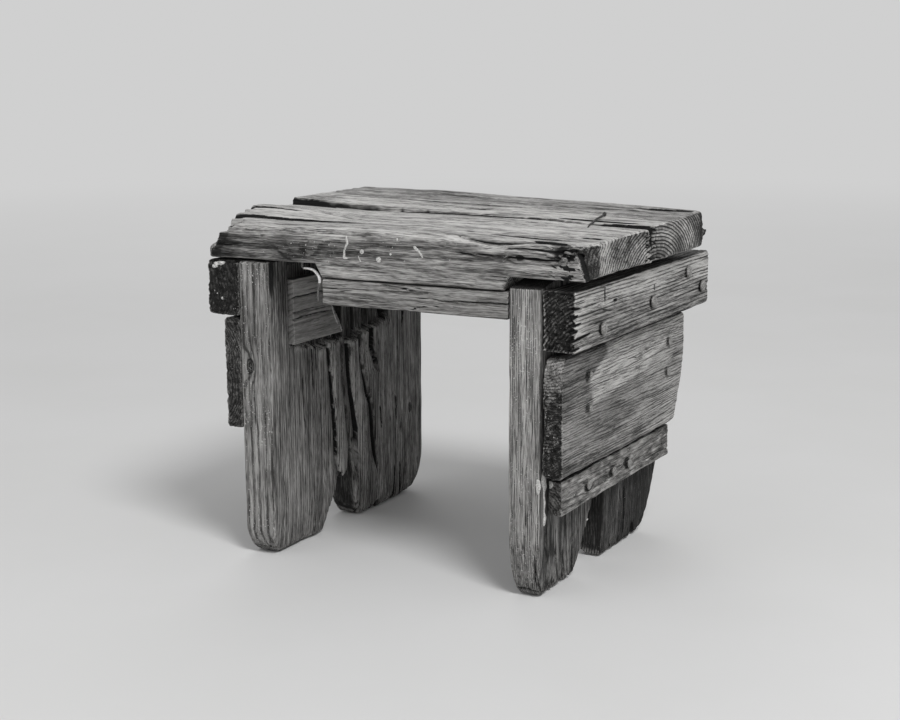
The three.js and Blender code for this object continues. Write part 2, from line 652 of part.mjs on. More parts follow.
// The bent nail stands in the seat over the right leg and was hammered flat towards the back.
function makeBentNail() {
  const { radius, head, headHeight, length, rooted, lean } = bentNail;
  const x = rightNailLine;
  const root = heartCheck.fromFront - bentNailFromCheck;
  const end = root + length;
  const lip = heartCheck.fromFront + over; // it climbs over the check's back lip
  const top = (y) => seatTop(x, y) + radius + gap * 2;
  const base = seatTop(x, root) - rooted;
  const middle = lip + length * 0.2;
  const points = [
    [x, root, base], [x, root, base + rooted * 0.75], [x, root + radius * 1.7, top(root + radius * 2)],
    [x + lean * 0.25, lip - radius * 4, top(lip) + gap], [x + lean * 0.5, middle, top(middle)],
    [x + lean, end, top(end) + radius],
  ];
  const disc = new THREE.CylinderGeometry(head, head, headHeight, nailSides);
  disc.applyQuaternion(turnTo(new THREE.Vector3(-0.1, 1, 0.05).normalize()));
  disc.translate(x + lean, end, top(end) - radius + head);
  const mouth = new THREE.Vector3(x, root + gap * 2, seatTopMid + clear);
  const bore = rod(radius + gap * 3, mouth, axisZ, clear + rooted + over * 2);
  return { body: wire(points, radius, 24).add(toSolid(disc)), cuts: [bore] };
}

const hookedNail = makeHookedNail();
const strayNail = makeBentNail();
const holes = [...nails.flatMap((n) => n.cuts), ...hookedNail.cuts, ...strayNail.cuts];

function meets(a, b) {
  const [m, n] = [a.boundingBox(), b.boundingBox()];
  return [0, 1, 2].every((k) => m.min[k] < n.max[k] && m.max[k] > n.min[k]);
}

for (const [name, { solid, material }] of Object.entries(boards)) {
  addPiece(name, cutAll(solid, holes.filter((hole) => meets(hole, solid))), material);
}
nails.forEach((n) => addPiece(n.name, n.body, rustyIron));
addPiece("hooked_nail", hookedNail.body, brightIron);
addPiece("bent_over_nail", strayNail.body, rustyIron);

// The stool is centred over the origin.
const middle = new THREE.Box3().setFromObject(stool).getCenter(new THREE.Vector3());
stool.position.set(-middle.x, -middle.y, 0);

const part = new THREE.Group();
part.add(stool);

export default part;
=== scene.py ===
import bpy, bmesh, math
import numpy as np
from mathutils import Vector, Matrix


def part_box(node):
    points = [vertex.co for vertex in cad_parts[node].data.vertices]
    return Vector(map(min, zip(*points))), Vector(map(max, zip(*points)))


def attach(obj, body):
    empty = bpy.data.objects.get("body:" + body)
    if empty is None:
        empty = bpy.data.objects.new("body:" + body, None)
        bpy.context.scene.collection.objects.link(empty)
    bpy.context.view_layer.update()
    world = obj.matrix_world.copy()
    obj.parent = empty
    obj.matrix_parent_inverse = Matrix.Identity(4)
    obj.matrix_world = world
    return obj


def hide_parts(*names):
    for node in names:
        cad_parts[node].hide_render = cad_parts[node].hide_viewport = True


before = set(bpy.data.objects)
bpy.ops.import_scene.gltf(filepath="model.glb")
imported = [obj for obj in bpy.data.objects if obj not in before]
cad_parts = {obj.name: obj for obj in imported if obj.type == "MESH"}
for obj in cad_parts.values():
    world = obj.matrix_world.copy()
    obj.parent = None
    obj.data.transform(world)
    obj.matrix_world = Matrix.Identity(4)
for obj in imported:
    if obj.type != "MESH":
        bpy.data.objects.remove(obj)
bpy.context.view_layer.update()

# A low stool nailed together from weathered boards. Sizes below are in millimetres from the
# left leg's front bottom corner; x runs to the right, y to the back and z up.
mm = 0.001
corner = np.array(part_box("left_leg")[0])


def boxOf(node):  # a CAD node's corners in those millimetres
    low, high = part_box(node)
    return (np.array(low) - corner) / mm, (np.array(high) - corner) / mm


# Seeded noise on arrays of points

def hashed(i, j, k, seed):
    n = (i * 374761393 + j * 668265263 + k * 1440670441 + seed * 1274126177) & 0xffffffff
    n = ((n ^ (n >> 13)) * 1274126177) & 0xffffffff
    return ((n ^ (n >> 16)) & 0xffff) / 32767.5 - 1


def noise(q, seed):
    cell = np.floor(q).astype(np.int64)
    f = q - cell
    f = f * f * (3 - 2 * f)
    total = np.zeros(len(q))
    for dx in (0, 1):
        for dy in (0, 1):
            for dz in (0, 1):
                weight = 1
                for axis, step in enumerate((dx, dy, dz)):
                    weight = weight * (f[:, axis] if step else 1 - f[:, axis])
                total += weight * hashed(cell[:, 0] + dx, cell[:, 1] + dy, cell[:, 2] + dz, seed)
    return total


def fractal(q, seed, octaves=3):
    return sum(noise(q * 2 ** o, seed + o) / 2 ** o for o in range(octaves)) / (2 - 2 ** (1 - octaves))


def stretched(p, grain, across, lengthwise):  # noise cells, long in the grain's direction
    size = np.full(3, float(across))
    size[grain] = lengthwise
    return p / size


def grained(p, grain, across, lengthwise, seed, octaves=3):
    return fractal(stretched(p, grain, across, lengthwise), seed, octaves)


def coords(a, b=0.0, c=0.0):
    return np.stack(np.broadcast_arrays(a, b, c), 1)


def unit(x):
    return np.clip(x, 0, 1)


def smooth(x, low, high):
    t = unit((x - low) / (high - low))
    return t * t * (3 - 2 * t)


def fall(x, low, high):
    return 1 - smooth(x, low, high)


def along(values, share):
    return np.interp(share, np.linspace(0, 1, len(values)), values)


def spot(a, b, centre, wide, tall):  # a soft patch on two coordinates
    return np.exp(-((a - centre[0]) / wide) ** 2 - ((b - centre[1]) / tall) ** 2)


# Boards: a cube cut into a fine net, whose points are then carved

def gridLines(low, high, count, crowd=(), snap=(), endZone=7, endCrowd=2.2):
    at = np.linspace(0, 1, 4001)
    d = at * (high - low)
    density = 1 + endCrowd * (np.exp(-d / endZone) + np.exp((d - d[-1]) / endZone))
    for place, width, strength in crowd:
        density += strength * np.exp(-((d + low - place) / width) ** 2)
    total = np.cumsum(density)
    total = (total - total[0]) / (total[-1] - total[0])
    lines = low + (high - low) * np.interp(np.linspace(0, 1, count + 1), total, at)
    for place in snap:
        lines[1 + np.abs(lines[1:-1] - place).argmin()] = place
    return np.sort(lines)


def blankBoard(lines):
    counts = [len(line) - 1 for line in lines]
    bm = bmesh.new()
    bmesh.ops.create_cube(bm, size=1)
    for axis, count in enumerate(counts):
        edges = [e for e in bm.edges if abs(e.verts[0].co[axis] - e.verts[1].co[axis]) > 1e-6]
        bmesh.ops.subdivide_edges(bm, edges=edges, cuts=count - 1, use_grid_fill=True)
    place = np.array([v.co for v in bm.verts]) + 0.5
    index = np.rint(place * counts).astype(int)
    p = np.stack([lines[k][index[:, k]] for k in range(3)], 1)
    return bm, p


def roundEdges(p, low, high, radius):  # draws every arris in and gives the outward direction
    r = np.asarray(radius).reshape(-1, 1)
    inner = np.clip(p, low + r, high - r)
    out = p - inner
    n = out / np.linalg.norm(out, axis=1, keepdims=True)
    return inner + n * r, n


# the faces that are split: the axis they look along, and the way
onTop, onFront, onRight = (2, 1), (1, -1), (0, 1)


def rift(face, width, depth, *path, ends=(0, 0), lip=0, farWall=1, wander=0.4):
    # a split along a path of (lengthwise, across) places; ends are 1 where it runs out of the board
    return {"face": face, "width": width, "depth": depth, "path": path, "ends": ends, "lip": lip,
            "farWall": farWall, "wander": wander}


def splitShape(a, b, split, seed):  # how far open a split is, its lower lip, and the painted shade in and around it
    path = np.array(split["path"], float)
    path = path[path[:, 0].argsort()]
    middle = np.interp(a, path[:, 0], path[:, 1])
    wander = split["wander"]
    q = coords(a / 9, seed * 1.7)
    middle = middle + wander * noise(q, seed) + wander * 0.6 * noise(q * 3.1, seed + 5)
    first, last = split["ends"]
    share = unit((a - path[0, 0]) / (path[-1, 0] - path[0, 0]))
    swell = unit(np.sin(math.pi * (share * (1 - (first + last) * 0.5) + first * 0.5))) ** 0.75
    swell = swell * ((a >= path[0, 0]) & (a <= path[-1, 0]))
    width = split["width"] * (1 + 0.25 * noise(q * 1.4, seed + 9))
    half = np.maximum(width / 2 * (0.3 + 0.7 * swell), 0.5)
    off = np.abs(b - middle) / half
    opened = smooth(1.9 - off, 0, 1.3) * swell
    lip = np.where(b < middle, np.exp((b - middle) / 7), 0) * swell
    # the split is painted dark a little wider than its opening: painted shade
    near = unit(1 - 0.62 * off)
    if split["face"][0] != 1:  # the far wall of a split is all that a low eye sees of it, so the painted shade covers that wall as well
        far = unit((1.9 * half + 0.6 - (b - middle)) / 0.9)
        near = np.maximum(near, (b > middle) * far * split["farWall"])
    return opened, lip, smooth(swell, 0, 0.5) * near


def openSplits(p, grain, low, high, splits, seed):
    dark = np.zeros(len(p))
    for i, split in enumerate(splits):
        axis, side = split["face"]
        across = 3 - grain - axis
        opened, lip, shade = splitShape(p[:, grain], p[:, across], split, seed + 3 * i)
        share = unit((p[:, axis] - low[axis]) / (high[axis] - low[axis]))
        share = share if side > 0 else 1 - share
        p[:, axis] -= side * share * (split["depth"] * opened + split["lip"] * lip)
        # painted shade of the splits, strongest near the surface
        dark = np.maximum(dark, shade * smooth(share, 0.75, 0.95) * min(1, 0.45 + split["depth"] / 4))
    return dark


def weather(p, n, grain, look, seed):  # the depth that rain and wear have cut, and its masks
    flat = 1 - smooth(np.abs(n[:, grain]), 0.55, 0.9)
    q = stretched(p, grain, look["ridge"], look["ridge"] * 26)
    ridges = 1 - np.abs(noise(q, seed)) * 2
    ridges = unit(ridges) ** 1.5
    wide = 0.5 + 0.5 * grained(p, grain, 16, 150, seed + 7, 2)
    depth = flat * (look["ridgeDepth"] * ridges + look["waveDepth"] * wide)
    endRough = 0.5 + 0.5 * grained(p, grain, 2.2, 40, seed + 11, 2)
    depth += (1 - flat) * look["endDepth"] * endRough
    lines = np.abs(noise(stretched(p, grain, look["checkGap"], 120), seed + 17))
    where = smooth(noise(stretched(p, grain, 22, 60), seed + 23), 0.2, 0.6)
    checks = flat * where * fall(lines, 0.0, 0.045)
    depth += look["checkDepth"] * checks
    return depth, checks


def link(thing):
    bpy.context.scene.collection.objects.link(thing)
    return thing


def finish(name, bm, materials, node=None, slot=None, p=None, marks=()):  # a net becomes a piece of the one body
    mesh = bpy.data.meshes.new(name)
    bm.to_mesh(mesh)
    bm.free()
    if p is not None:
        mesh.vertices.foreach_set("co", (corner + p * mm).astype(np.float32).ravel())
    for key, values in dict(marks).items():
        attribute = mesh.attributes.new(key, "FLOAT", "POINT")
        attribute.data.foreach_set("value", unit(values).astype(np.float32))
    mesh.polygons.foreach_set("use_smooth", [True] * len(mesh.polygons))
    mesh.update()
    for material in materials:
        mesh.materials.append(material)
    piece = link(bpy.data.objects.new(name, mesh))
    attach(piece, "root")
    if node:
        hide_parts(node)
    return mesh


def nailSpots(p, prefix, reach=7, shift=(0, 0, 0)):  # the dark ring that rusting iron leaves in the wood; a shift moves it to where a head's shadow falls, making it partly a painted shadow
    near = np.zeros(len(p))
    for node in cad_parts:
        if node.startswith(prefix):
            low, high = boxOf(node)
            middle = (low + high) / 2 + shift
            thin = int(np.argmax(high - low))  # the nail's own direction
            axes = [a for a in range(3) if a != thin]
            d = np.sqrt(sum((p[:, a] - middle[a]) ** 2 for a in axes))
            near = np.maximum(near, 1 - smooth(d, 3.5, reach))
    return near


# Materials

def feed(node, values):  # by input name or place: a link if the value is a socket, or else the socket's own value
    for key, value in dict(values).items():
        if isinstance(value, bpy.types.NodeSocket):
            node.id_data.links.new(value, node.inputs[key])
        else:
            node.inputs[key].default_value = value
    return node


def addNode(tree, kind, values=(), **settings):
    node = tree.nodes.new(kind)
    for key, value in settings.items():
        setattr(node, key, value)
    return feed(node, values)


def calc(operation, a, b=0.0, clamp=False):
    tree = (a if isinstance(a, bpy.types.NodeSocket) else b).id_data
    return addNode(tree, "ShaderNodeMath", {0: a, 1: b}, operation=operation, use_clamp=clamp).outputs[0]


def add(a, b, clamp=False):
    return calc("ADD", a, b, clamp)


def sub(a, b, clamp=False):
    return calc("SUBTRACT", a, b, clamp)


def mul(a, b):
    return calc("MULTIPLY", a, b)


def vectorCalc(operation, a, b=(0, 0, 0), key=1, out=0):
    return addNode(a.id_data, "ShaderNodeVectorMath", {0: a, key: b}, operation=operation).outputs[out]


def ramp(value, low, high, toLow=0.0, toHigh=1.0):
    return addNode(value.id_data, "ShaderNodeMapRange", enumerate((value, low, high, toLow, toHigh)),
                   interpolation_type="SMOOTHSTEP", clamp=True).outputs[0]


def blendColour(share, a, b):
    return addNode(share.id_data, "ShaderNodeMix", {0: share, 6: a, 7: b}, data_type="RGBA", blend_type="MIX",
                   clamp_factor=True).outputs[2]


def noiseField(vector, scale=1.0, detail=3.0, roughness=0.55):
    return addNode(vector.id_data, "ShaderNodeTexNoise", {
        "Vector": vector, "Scale": scale, "Detail": detail, "Roughness": roughness}).outputs[0]


def scaled(vector, scale, place=(0, 0, 0)):
    return addNode(vector.id_data, "ShaderNodeMapping", {
        "Vector": vector, "Scale": scale, "Location": place}).outputs[0]


def newGroup(name, inputs, outputs):  # an input's kind follows from its first value
    tree = bpy.data.node_groups.new(name, "ShaderNodeTree")
    number, colour, vector = "NodeSocketFloat", "NodeSocketColor", "NodeSocketVector"
    for label, value in inputs.items():
        kind = {3: vector, 4: colour}[len(value)] if isinstance(value, tuple) else number
        tree.interface.new_socket(name=label, in_out="INPUT", socket_type=kind).default_value = value
    for label in outputs:
        tree.interface.new_socket(name=label, in_out="OUTPUT", socket_type=colour if label == "Color" else number)
    return tree, tree.nodes.new("NodeGroupInput").outputs, tree.nodes.new("NodeGroupOutput")


def useGroup(tree, group, **values):
    labels = ["".join(" " + c.lower() if c.isupper() else c for c in key) for key in values]
    return addNode(tree, "ShaderNodeGroup", zip((t[0].upper() + t[1:] for t in labels), values.values()),
                   node_tree=group).outputs


def grainGroup():  # fibres, growth rings and hairline checks; the grain runs along the vector's x, in mm
    tree, get, put = newGroup(
        "woodGrain", {"Vector": (0, 0, 0), "Ring spacing": 2.0, "Warp": 3.0, "Bend": 0.0, "End grain": 0.0},
        ("Fibre", "Ring", "Streak", "Hairline", "Height"))

    def field(scale, place=(0, 0, 0), detail=1.0, roughness=0.5):
        return noiseField(scaled(get["Vector"], scale, place), 1.0, detail, roughness)

    x, y, z = addNode(tree, "ShaderNodeSeparateXYZ", {0: get["Vector"]}).outputs
    away = calc("SQRT", add(calc("POWER", y, 2.0), calc("POWER", z, 2.0)))
    bend = mul(sub(field((0.005, 0.03, 0.03)), 0.5), mul(get["Warp"], 4.0))
    bend = add(bend, mul(sub(field((0.02, 0.14, 0.14), (7, 3, 1)), 0.5), get["Warp"]))
    turns = calc("DIVIDE", add(add(away, bend), get["Bend"]), get["Ring spacing"])
    phase = calc("FRACT", turns)
    late = mul(ramp(phase, 0.4, 0.72), ramp(phase, 0.84, 1.0, 1.0, 0.0))
    # some rings are darker than others, and each fades and returns along its length
    each = addNode(tree, "ShaderNodeCombineXYZ", {0: mul(turns, 0.83), 1: mul(x, 0.016)}).outputs[0]
    late = mul(late, ramp(noiseField(each, 1.0, 1.0, 0.5), 0.34, 0.66, 0.3, 1.0))
    fine, dash = field((0.05, 1.05, 1.05), (0, 0, 0), 3.0, 0.7), field((0.14, 1.7, 1.7), (3, 5, 9), 2.0, 0.6)
    fibre = add(mul(fine, 0.6), mul(dash, 0.4))
    rows, columns = field((0.3, 0.55, 0.16), (2, 2, 2), 2.0, 0.7), field((0.3, 0.13, 0.75), (6, 2, 4), 2.0, 0.7)
    weave = ramp(calc("MAXIMUM", rows, columns), 0.5, 0.68)
    onEnd = mul(get["End grain"], 0.6)
    # a hairline lies where a long, thin noise passes its middle value, and only in patches
    hairline = 0.0
    for size, place, near, patch, patchPlace, where in (
        ((0.013, 0.4, 0.4), (9, 2, 6), (0.005, 0.028, 1.0, 0.0), (0.02, 0.07, 0.07), (5, 5, 5), (0.5, 0.62)),
        ((0.022, 0.95, 0.95), (1, 7, 3), (0.006, 0.04, 0.7, 0.0), (0.014, 0.12, 0.12), (8, 1, 4), (0.44, 0.6)),
    ):
        line = ramp(calc("ABSOLUTE", sub(field(size, place), 0.5)), *near)
        line = mul(line, ramp(field(patch, patchPlace, 2.0, 0.6), *where))
        hairline = calc("MAXIMUM", hairline, line)
    hairline = mul(hairline, sub(1.0, get["End grain"]))
    feed(put, {
        "Fibre": add(mul(ramp(fibre, 0.37, 0.63), sub(1.0, onEnd)), mul(weave, onEnd)), "Ring": late,
        "Streak": ramp(field((0.008, 0.2, 0.2), (1, 8, 2), 3.0, 0.6), 0.34, 0.66), "Hairline": hairline,
        "Height": sub(sub(fibre, mul(late, 0.3)), mul(hairline, 0.5)),
    })
    return tree


def knotGroup():  # a knot: how far it pushes the rings aside, and its own dark eye
    tree, get, put = newGroup("woodKnot", {"Vector": (0, 0, 0), "Centre": (0, 0, 0), "Radius": 4.0}, ("Bend", "Eye"))
    offset = vectorCalc("MULTIPLY", vectorCalc("SUBTRACT", get["Vector"], get["Centre"]), (0.55, 1, 1))
    wobble = noiseField(scaled(get["Vector"], (0.3, 0.3, 0.3)), 1.0, 2.0)
    d = add(calc("DIVIDE", vectorCalc("LENGTH", offset, out="Value"), get["Radius"]), mul(wobble, 0.5))
    rings = ramp(calc("SINE", mul(d, 13.0)), -0.4, 0.9, 0.55, 1.0)
    feed(put, {"Bend": mul(ramp(d, 0.6, 3.2, 1.0, 0.0), mul(get["Radius"], 0.9)),
               "Eye": mul(ramp(d, 1.0, 1.35, 1.0, 0.0), rings)})
    return tree


def fleckGroup():  # old white paint: spatter where there is little, scuffed remains where there is more
    tree, get, put = newGroup("paintFlecks", {"Vector": (0, 0, 0), "Amount": 0.5, "Size": 1.5}, ("Mask",))
    small = vectorCalc("SCALE", get["Vector"], calc("DIVIDE", 1.0, get["Size"]), "Scale")
    level = sub(0.74, mul(get["Amount"], 0.4))
    mask = ramp(sub(noiseField(small, 1.0, 3.0, 0.75), level), 0.0, 0.05)
    feed(put, {"Mask": mul(mask, ramp(get["Amount"], 0.0, 0.12))})
    return tree


def weatherGroup():  # grey wood made of its grain, worn arrises, bleaching with painted highlights, soil with painted shade, near-black painted shade in cracks, and paint
    tree, get, put = newGroup("weatheredWood", {
        "Light": (0.4, 0.4, 0.4, 1), "Dark": (0.1, 0.1, 0.1, 1), "Fibre": 0.5, "Ring": 0.0, "Streak": 0.5,
        "Hairline": 0.0, "Ring contrast": 0.4, "End grain": 0.0, "Crack": 0.0, "Wear": 0.0, "Soil": 0.0,
        "Bleach": 0.0, "Paint": 0.0, "Vector": (0, 0, 0)}, ("Color", "Roughness"))
    fibre, ring, streak, contrast, soil, onEnd = (
        get[key] for key in ("Fibre", "Ring", "Streak", "Ring contrast", "Soil", "End grain"))
    tone = add(add(mul(fibre, 0.66), mul(streak, 0.34)), mul(contrast, 0.25))
    tone = sub(tone, mul(ring, contrast), True)
    sawn = sub(add(add(mul(fibre, 0.5), mul(streak, 0.2)), 0.28), mul(ring, 1.2), True)
    tone = add(tone, mul(sub(sawn, tone), onEnd), True)
    blotch = noiseField(scaled(get["Vector"], (0.016, 0.05, 0.05), (4, 4, 4)), 1.0, 4.0, 0.65)
    base = blendColour(tone, get["Dark"], get["Light"])
    base = vectorCalc("SCALE", base, ramp(blotch, 0.36, 0.64, 0.7, 1.18), "Scale")
    pale = blendColour(mul(tone, 0.7), get["Light"], (0.66, 0.652, 0.636, 1))
    # soil and painted shade, deepened in dark wood and in the end grain's rings
    grimeAndShade = add(add(soil, mul(sub(tone, 0.5), -0.4)), mul(mul(ring, onEnd), 0.55))
    for share, over in (
        (mul(get["Bleach"], ramp(tone, 0.1, 0.7, 0.15, 1.0)), pale),
        (mul(get["Wear"], ramp(fibre, 0.1, 0.7, 0.1, 0.8)), pale),
        (mul(get["Hairline"], 0.85), (0.012, 0.012, 0.011, 1)),
        # soil with painted shade, then near-black painted shade in the cracks
        (mul(ramp(grimeAndShade, 0.0, 1.0), ramp(soil, 0.0, 0.12)), (0.012, 0.0117, 0.0112, 1)),
        (ramp(get["Crack"], 0.15, 0.6), (0.004, 0.004, 0.004, 1)),
        (get["Paint"], (0.70, 0.695, 0.68, 1)),
    ):
        base = blendColour(share, base, over)
    rough = add(0.82, mul(fibre, -0.18))
    feed(put, {"Color": base, "Roughness": add(rough, mul(soil, 0.1), True)})
    return tree


grainTree, knotTree, fleckTree, weatherTree = grainGroup(), knotGroup(), fleckGroup(), weatherGroup()
grainTurn = {0: (0, 0, 0), 1: (0, 0, -math.pi / 2), 2: (0, math.pi / 2, 0)}


def turned(point, grain):  # a point in mm as the turned material coordinate sees it
    x, y, z = point
    return np.array([(x, y, z), (y, -x, z), (z, y, -x)][grain])


def newMaterial(name):
    material = bpy.data.materials.new(name)
    material.use_nodes = True
    tree = material.node_tree
    return material, tree, tree.nodes["Principled BSDF"], addNode(tree, "ShaderNodeTexCoord").outputs["Object"]


def woodMaterial(name, look):
    material, tree, shader, coordinate = newMaterial(name)
    squash, grain = np.array(look["squash"]), look["grain"]
    centre = turned((corner / mm + look["pith"]) * squash, grain)
    position = addNode(tree, "ShaderNodeMapping", {
        "Vector": coordinate, "Scale": tuple(squash / mm), "Rotation": grainTurn[grain],
        "Location": tuple(-centre)}).outputs[0]
    bend, eyes = 0.0, 0.0
    for place, radius in look["knots"]:
        at = turned((place + corner / mm) * squash, grain) - centre
        knot = useGroup(tree, knotTree, vector=position, centre=tuple(at), radius=radius)
        bend, eyes = add(bend, knot["Bend"]), calc("MAXIMUM", eyes, mul(knot["Eye"], 0.95))
    read = {key: addNode(tree, "ShaderNodeAttribute", attribute_name=key).outputs["Fac"]
            for key in ("crack", "wear", "soil", "bleach", "paint", "endGrain")}
    made = useGroup(tree, grainTree, vector=position, ringSpacing=look["ringSpacing"], warp=look["warp"],
                    bend=bend, endGrain=read["endGrain"])
    flecks = useGroup(tree, fleckTree, vector=position, amount=read["paint"], size=look["fleckSize"])
    read.update(soil=add(read["soil"], eyes, True), paint=flecks["Mask"])
    wood = useGroup(tree, weatherTree, light=look["light"] + (1,), dark=look["dark"] + (1,), vector=position,
                    fibre=made["Fibre"], ring=made["Ring"], streak=made["Streak"], hairline=made["Hairline"],
                    ringContrast=look["ringContrast"], **read)
    bump = addNode(tree, "ShaderNodeBump", {"Distance": look["bump"] * mm, "Strength": 0.9, "Height": made["Height"]})
    feed(shader, {"Specular IOR Level": 0.28, "Base Color": wood["Color"], "Roughness": wood["Roughness"],
                  "Normal": bump.outputs[0]})
    return material


def ironMaterial(name, dark, light, metallic, rough):
    material, tree, shader, coordinate = newMaterial(name)
    position = scaled(coordinate, (1 / mm,) * 3)
    scale, pits = noiseField(position, 0.9, 4.0, 0.65), noiseField(position, 2.6, 2.0, 0.6)
    bare = ramp(scale, 0.4, 0.62)
    bump = addNode(tree, "ShaderNodeBump", {"Distance": 0.35 * mm, "Height": add(scale, mul(pits, 0.5))})
    feed(shader, {"Base Color": blendColour(bare, dark, light), "Metallic": mul(bare, metallic),
                  "Roughness": ramp(scale, 0.3, 0.7, rough + 0.2, rough), "Normal": bump.outputs[0]})
    return material


def finishBoard(name, bm, p, marks, look):
    material = woodMaterial(look.get("material", name + "Wood"), look)
    finish(name, bm, [material], look["node"], look["slot"], p, marks)


# what most boards have in common; the grain is 0 where it runs along x, 1 along y and 2 along z
plain = {
    "slot": "board_wood", "grain": 1, "squash": (1, 1, 1), "fleckSize": 1.5, "bump": 0.9, "knots": (), "cracks": (),
    "nicks": (), "checkGap": 9, "checkDepth": 1, "lean": 0, "bleach": 0, "soil": 0, "endPaint": 0, "frontDirt": 0,
    "streaks": 0, "mottle": 0, "nailDirt": 0.6, "endWeave": 0.8,
}
print("helpers and node groups ready")

# The seat: one thick plank, rebated underneath at both ends, with a long heart check

seat = {
    **plain, "node": "seat_plank", "slot": "seat_wood", "grain": 0, "pith": (0, 135, 236),
    "material": "silveredPlank", "low": (-30, 0, 249), "high": (313, 247, 279), "belly": 238.5,
    "rebateWalls": (74.5, 80, 246.9, 247.1), "front": (-3, -0.5, 0.5, -1.5, -4),
    "checkFront": (4.5, 2, 3, 1.5, -1.5), "checkBack": (10.3, 6.5, 4.5, 2.5, 0), "back": (10.5, 10.5, 7.5, 5.5, 2),
    "check": 125, "light": (0.585, 0.576, 0.563), "dark": (0.095, 0.093, 0.09), "ringSpacing": 2.6, "warp": 1.2,
    "squash": (1, 0.6, 1), "ringContrast": 0.4, "bump": 1.2, "fleckSize": 2.4, "ridge": 3.6, "ridgeDepth": 0.35,
    "waveDepth": 0.9, "endDepth": 0.6, "checkDepth": 1.2, "knots": (((257, 0, 265), 2.3), ((64, -9, 259), 6)),
    "cracks": (
        rift(onTop, 1.8, 2, (-31, 124.35), (30, 124.4), (60, 124.3), (98, 124), ends=(1, 0), lip=0.3, farWall=0,
             wander=0.1),
        rift(onTop, 3.2, 3, (-31, 123), (-12, 123.2), (8, 122.6), (26, 120.5), ends=(1, 0), farWall=0.6),
        rift(onTop, 2.0, 3, (60, 123.4), (150, 122), (230, 124), lip=0.9, farWall=0.9),
        rift(onTop, 2.4, 17, (200, 124), (244, 123), (274, 121), (289, 124), (314, 126), ends=(0, 1), lip=1,
             farWall=0.6),
        rift(onTop, 2.4, 4, (222, 134), (262, 132.5), (300, 136), lip=0.9),
        rift(onTop, 3.6, 4, (262, 121.5), (288, 123.6), (314, 126), ends=(0, 1), lip=0.5, farWall=0.9),
        rift(onTop, 2.2, 2.6, (-31, 36), (-6, 37), (28, 35), (62, 37), (104, 40), ends=(1, 0), lip=1.7,
             farWall=0.9),
        rift(onTop, 1.8, 1.8, (-31, 60), (-6, 62), (30, 60), ends=(1, 0), lip=1, farWall=0.7),
        rift(onTop, 2, 3, (-31, 17), (-20, 17), (-6, 15), ends=(1, 0), lip=0.6),
        rift(onTop, 1.4, 1.0, (60, 60), (120, 57), (170, 61), lip=0.5, farWall=0.3),
        rift(onTop, 1.5, 1.2, (120, 88), (190, 86), (262, 90), lip=0.7, farWall=0.4),
        rift(onTop, 1.6, 1.2, (10, 176), (110, 173), (190, 176), lip=0.7, farWall=0.4),
        rift(onTop, 1.4, 1.0, (90, 153), (150, 151), (215, 155), lip=0.6, farWall=0.3),
        rift(onTop, 1.6, 1.2, (140, 204), (200, 202), (250, 205), lip=0.7, farWall=0.3),
        rift(onTop, 1.6, 1.2, (30, 222), (100, 219), (160, 223), lip=0.6, farWall=0.3),
        rift(onTop, 4, 4, (262, 226), (285, 231), (307, 236), lip=1.6),
        rift(onTop, 1.8, 1.5, (204, 9), (240, 8), (284, 10), lip=0.8, farWall=0.4),
        rift(onTop, 2, 1.5, (215, 26), (262, 24), (300, 27), lip=0.6),
        rift(onTop, 3, 3, (262, 12), (279, 11), (292, 12), lip=0.8),
        rift(onTop, 2.4, 2, (284, 48), (292, 47), (304, 48), lip=0.6),
        rift(onFront, 1.6, 2.5, (190, 266), (240, 265), (288, 264), ends=(0, 1)),
        rift(onFront, 1.5, 2, (240, 271), (262, 272), (290, 270), ends=(0, 1)),
        rift(onFront, 0.9, 0.5, (60, 262), (110, 264), (170, 261)),
        rift(onFront, 0.9, 0.5, (110, 246), (170, 247), (236, 245)),
        rift(onFront, 1.8, 2, (-31, 262), (-12, 261), (6, 262), ends=(1, 0)),
    ),
    # worm and knot holes: their place, radius and depth
    "pits": (((146.3, 152.4), 2.6, 3), ((152.4, 155.3), 2.2, 2.5), ((301.2, 47.1), 3, 3), ((261.5, 210.8), 2.6, 2),
        ((218, 102), 2.6, 2), ((96, 118), 2.2, 2), ((200, 30), 2, 1.2), ((262, 228), 4, 4)),
    "crown": {"y": 68, "reach": 30, "height": 6.2}, "flake": {"x": 232, "reach": 30, "depth": 5},
    "spur": {"z": 263, "reach": 10, "least": 4, "teeth": 17}, "rotPlace": (297, 0, 271), "rotSize": (12, 9, 7.5),
    "heart": (135, 236), "seed": 31,
    # each broken layer at the left end: its floor, its far end, and its front and back
    "layers": (
        (270.5, -12, -5, 15), (275, -16, 14, 27), (279.8, -17, 26, 38), (283, -19, 37, 52), (285.6, -21, 51, 63),
        (288, -24, 62, 81), (287, -25, 80, 101), (285.6, -25, 100, 121), (289.2, -27, 124, 250),
    ),
}


def seatTop(x, y):
    t = (x - seat["low"][0]) / (seat["high"][0] - seat["low"][0])
    s = np.sqrt(np.clip(y, 0, None) / seat["check"])
    before = along(seat["front"], t) * (1 - s) + along(seat["checkFront"], t) * s
    s = unit((y - seat["check"]) / (seat["high"][1] - seat["check"]))
    behind = along(seat["checkBack"], t) * (1 - s) + along(seat["back"], t) * s
    return seat["high"][2] + np.where(y < seat["check"], before, behind)


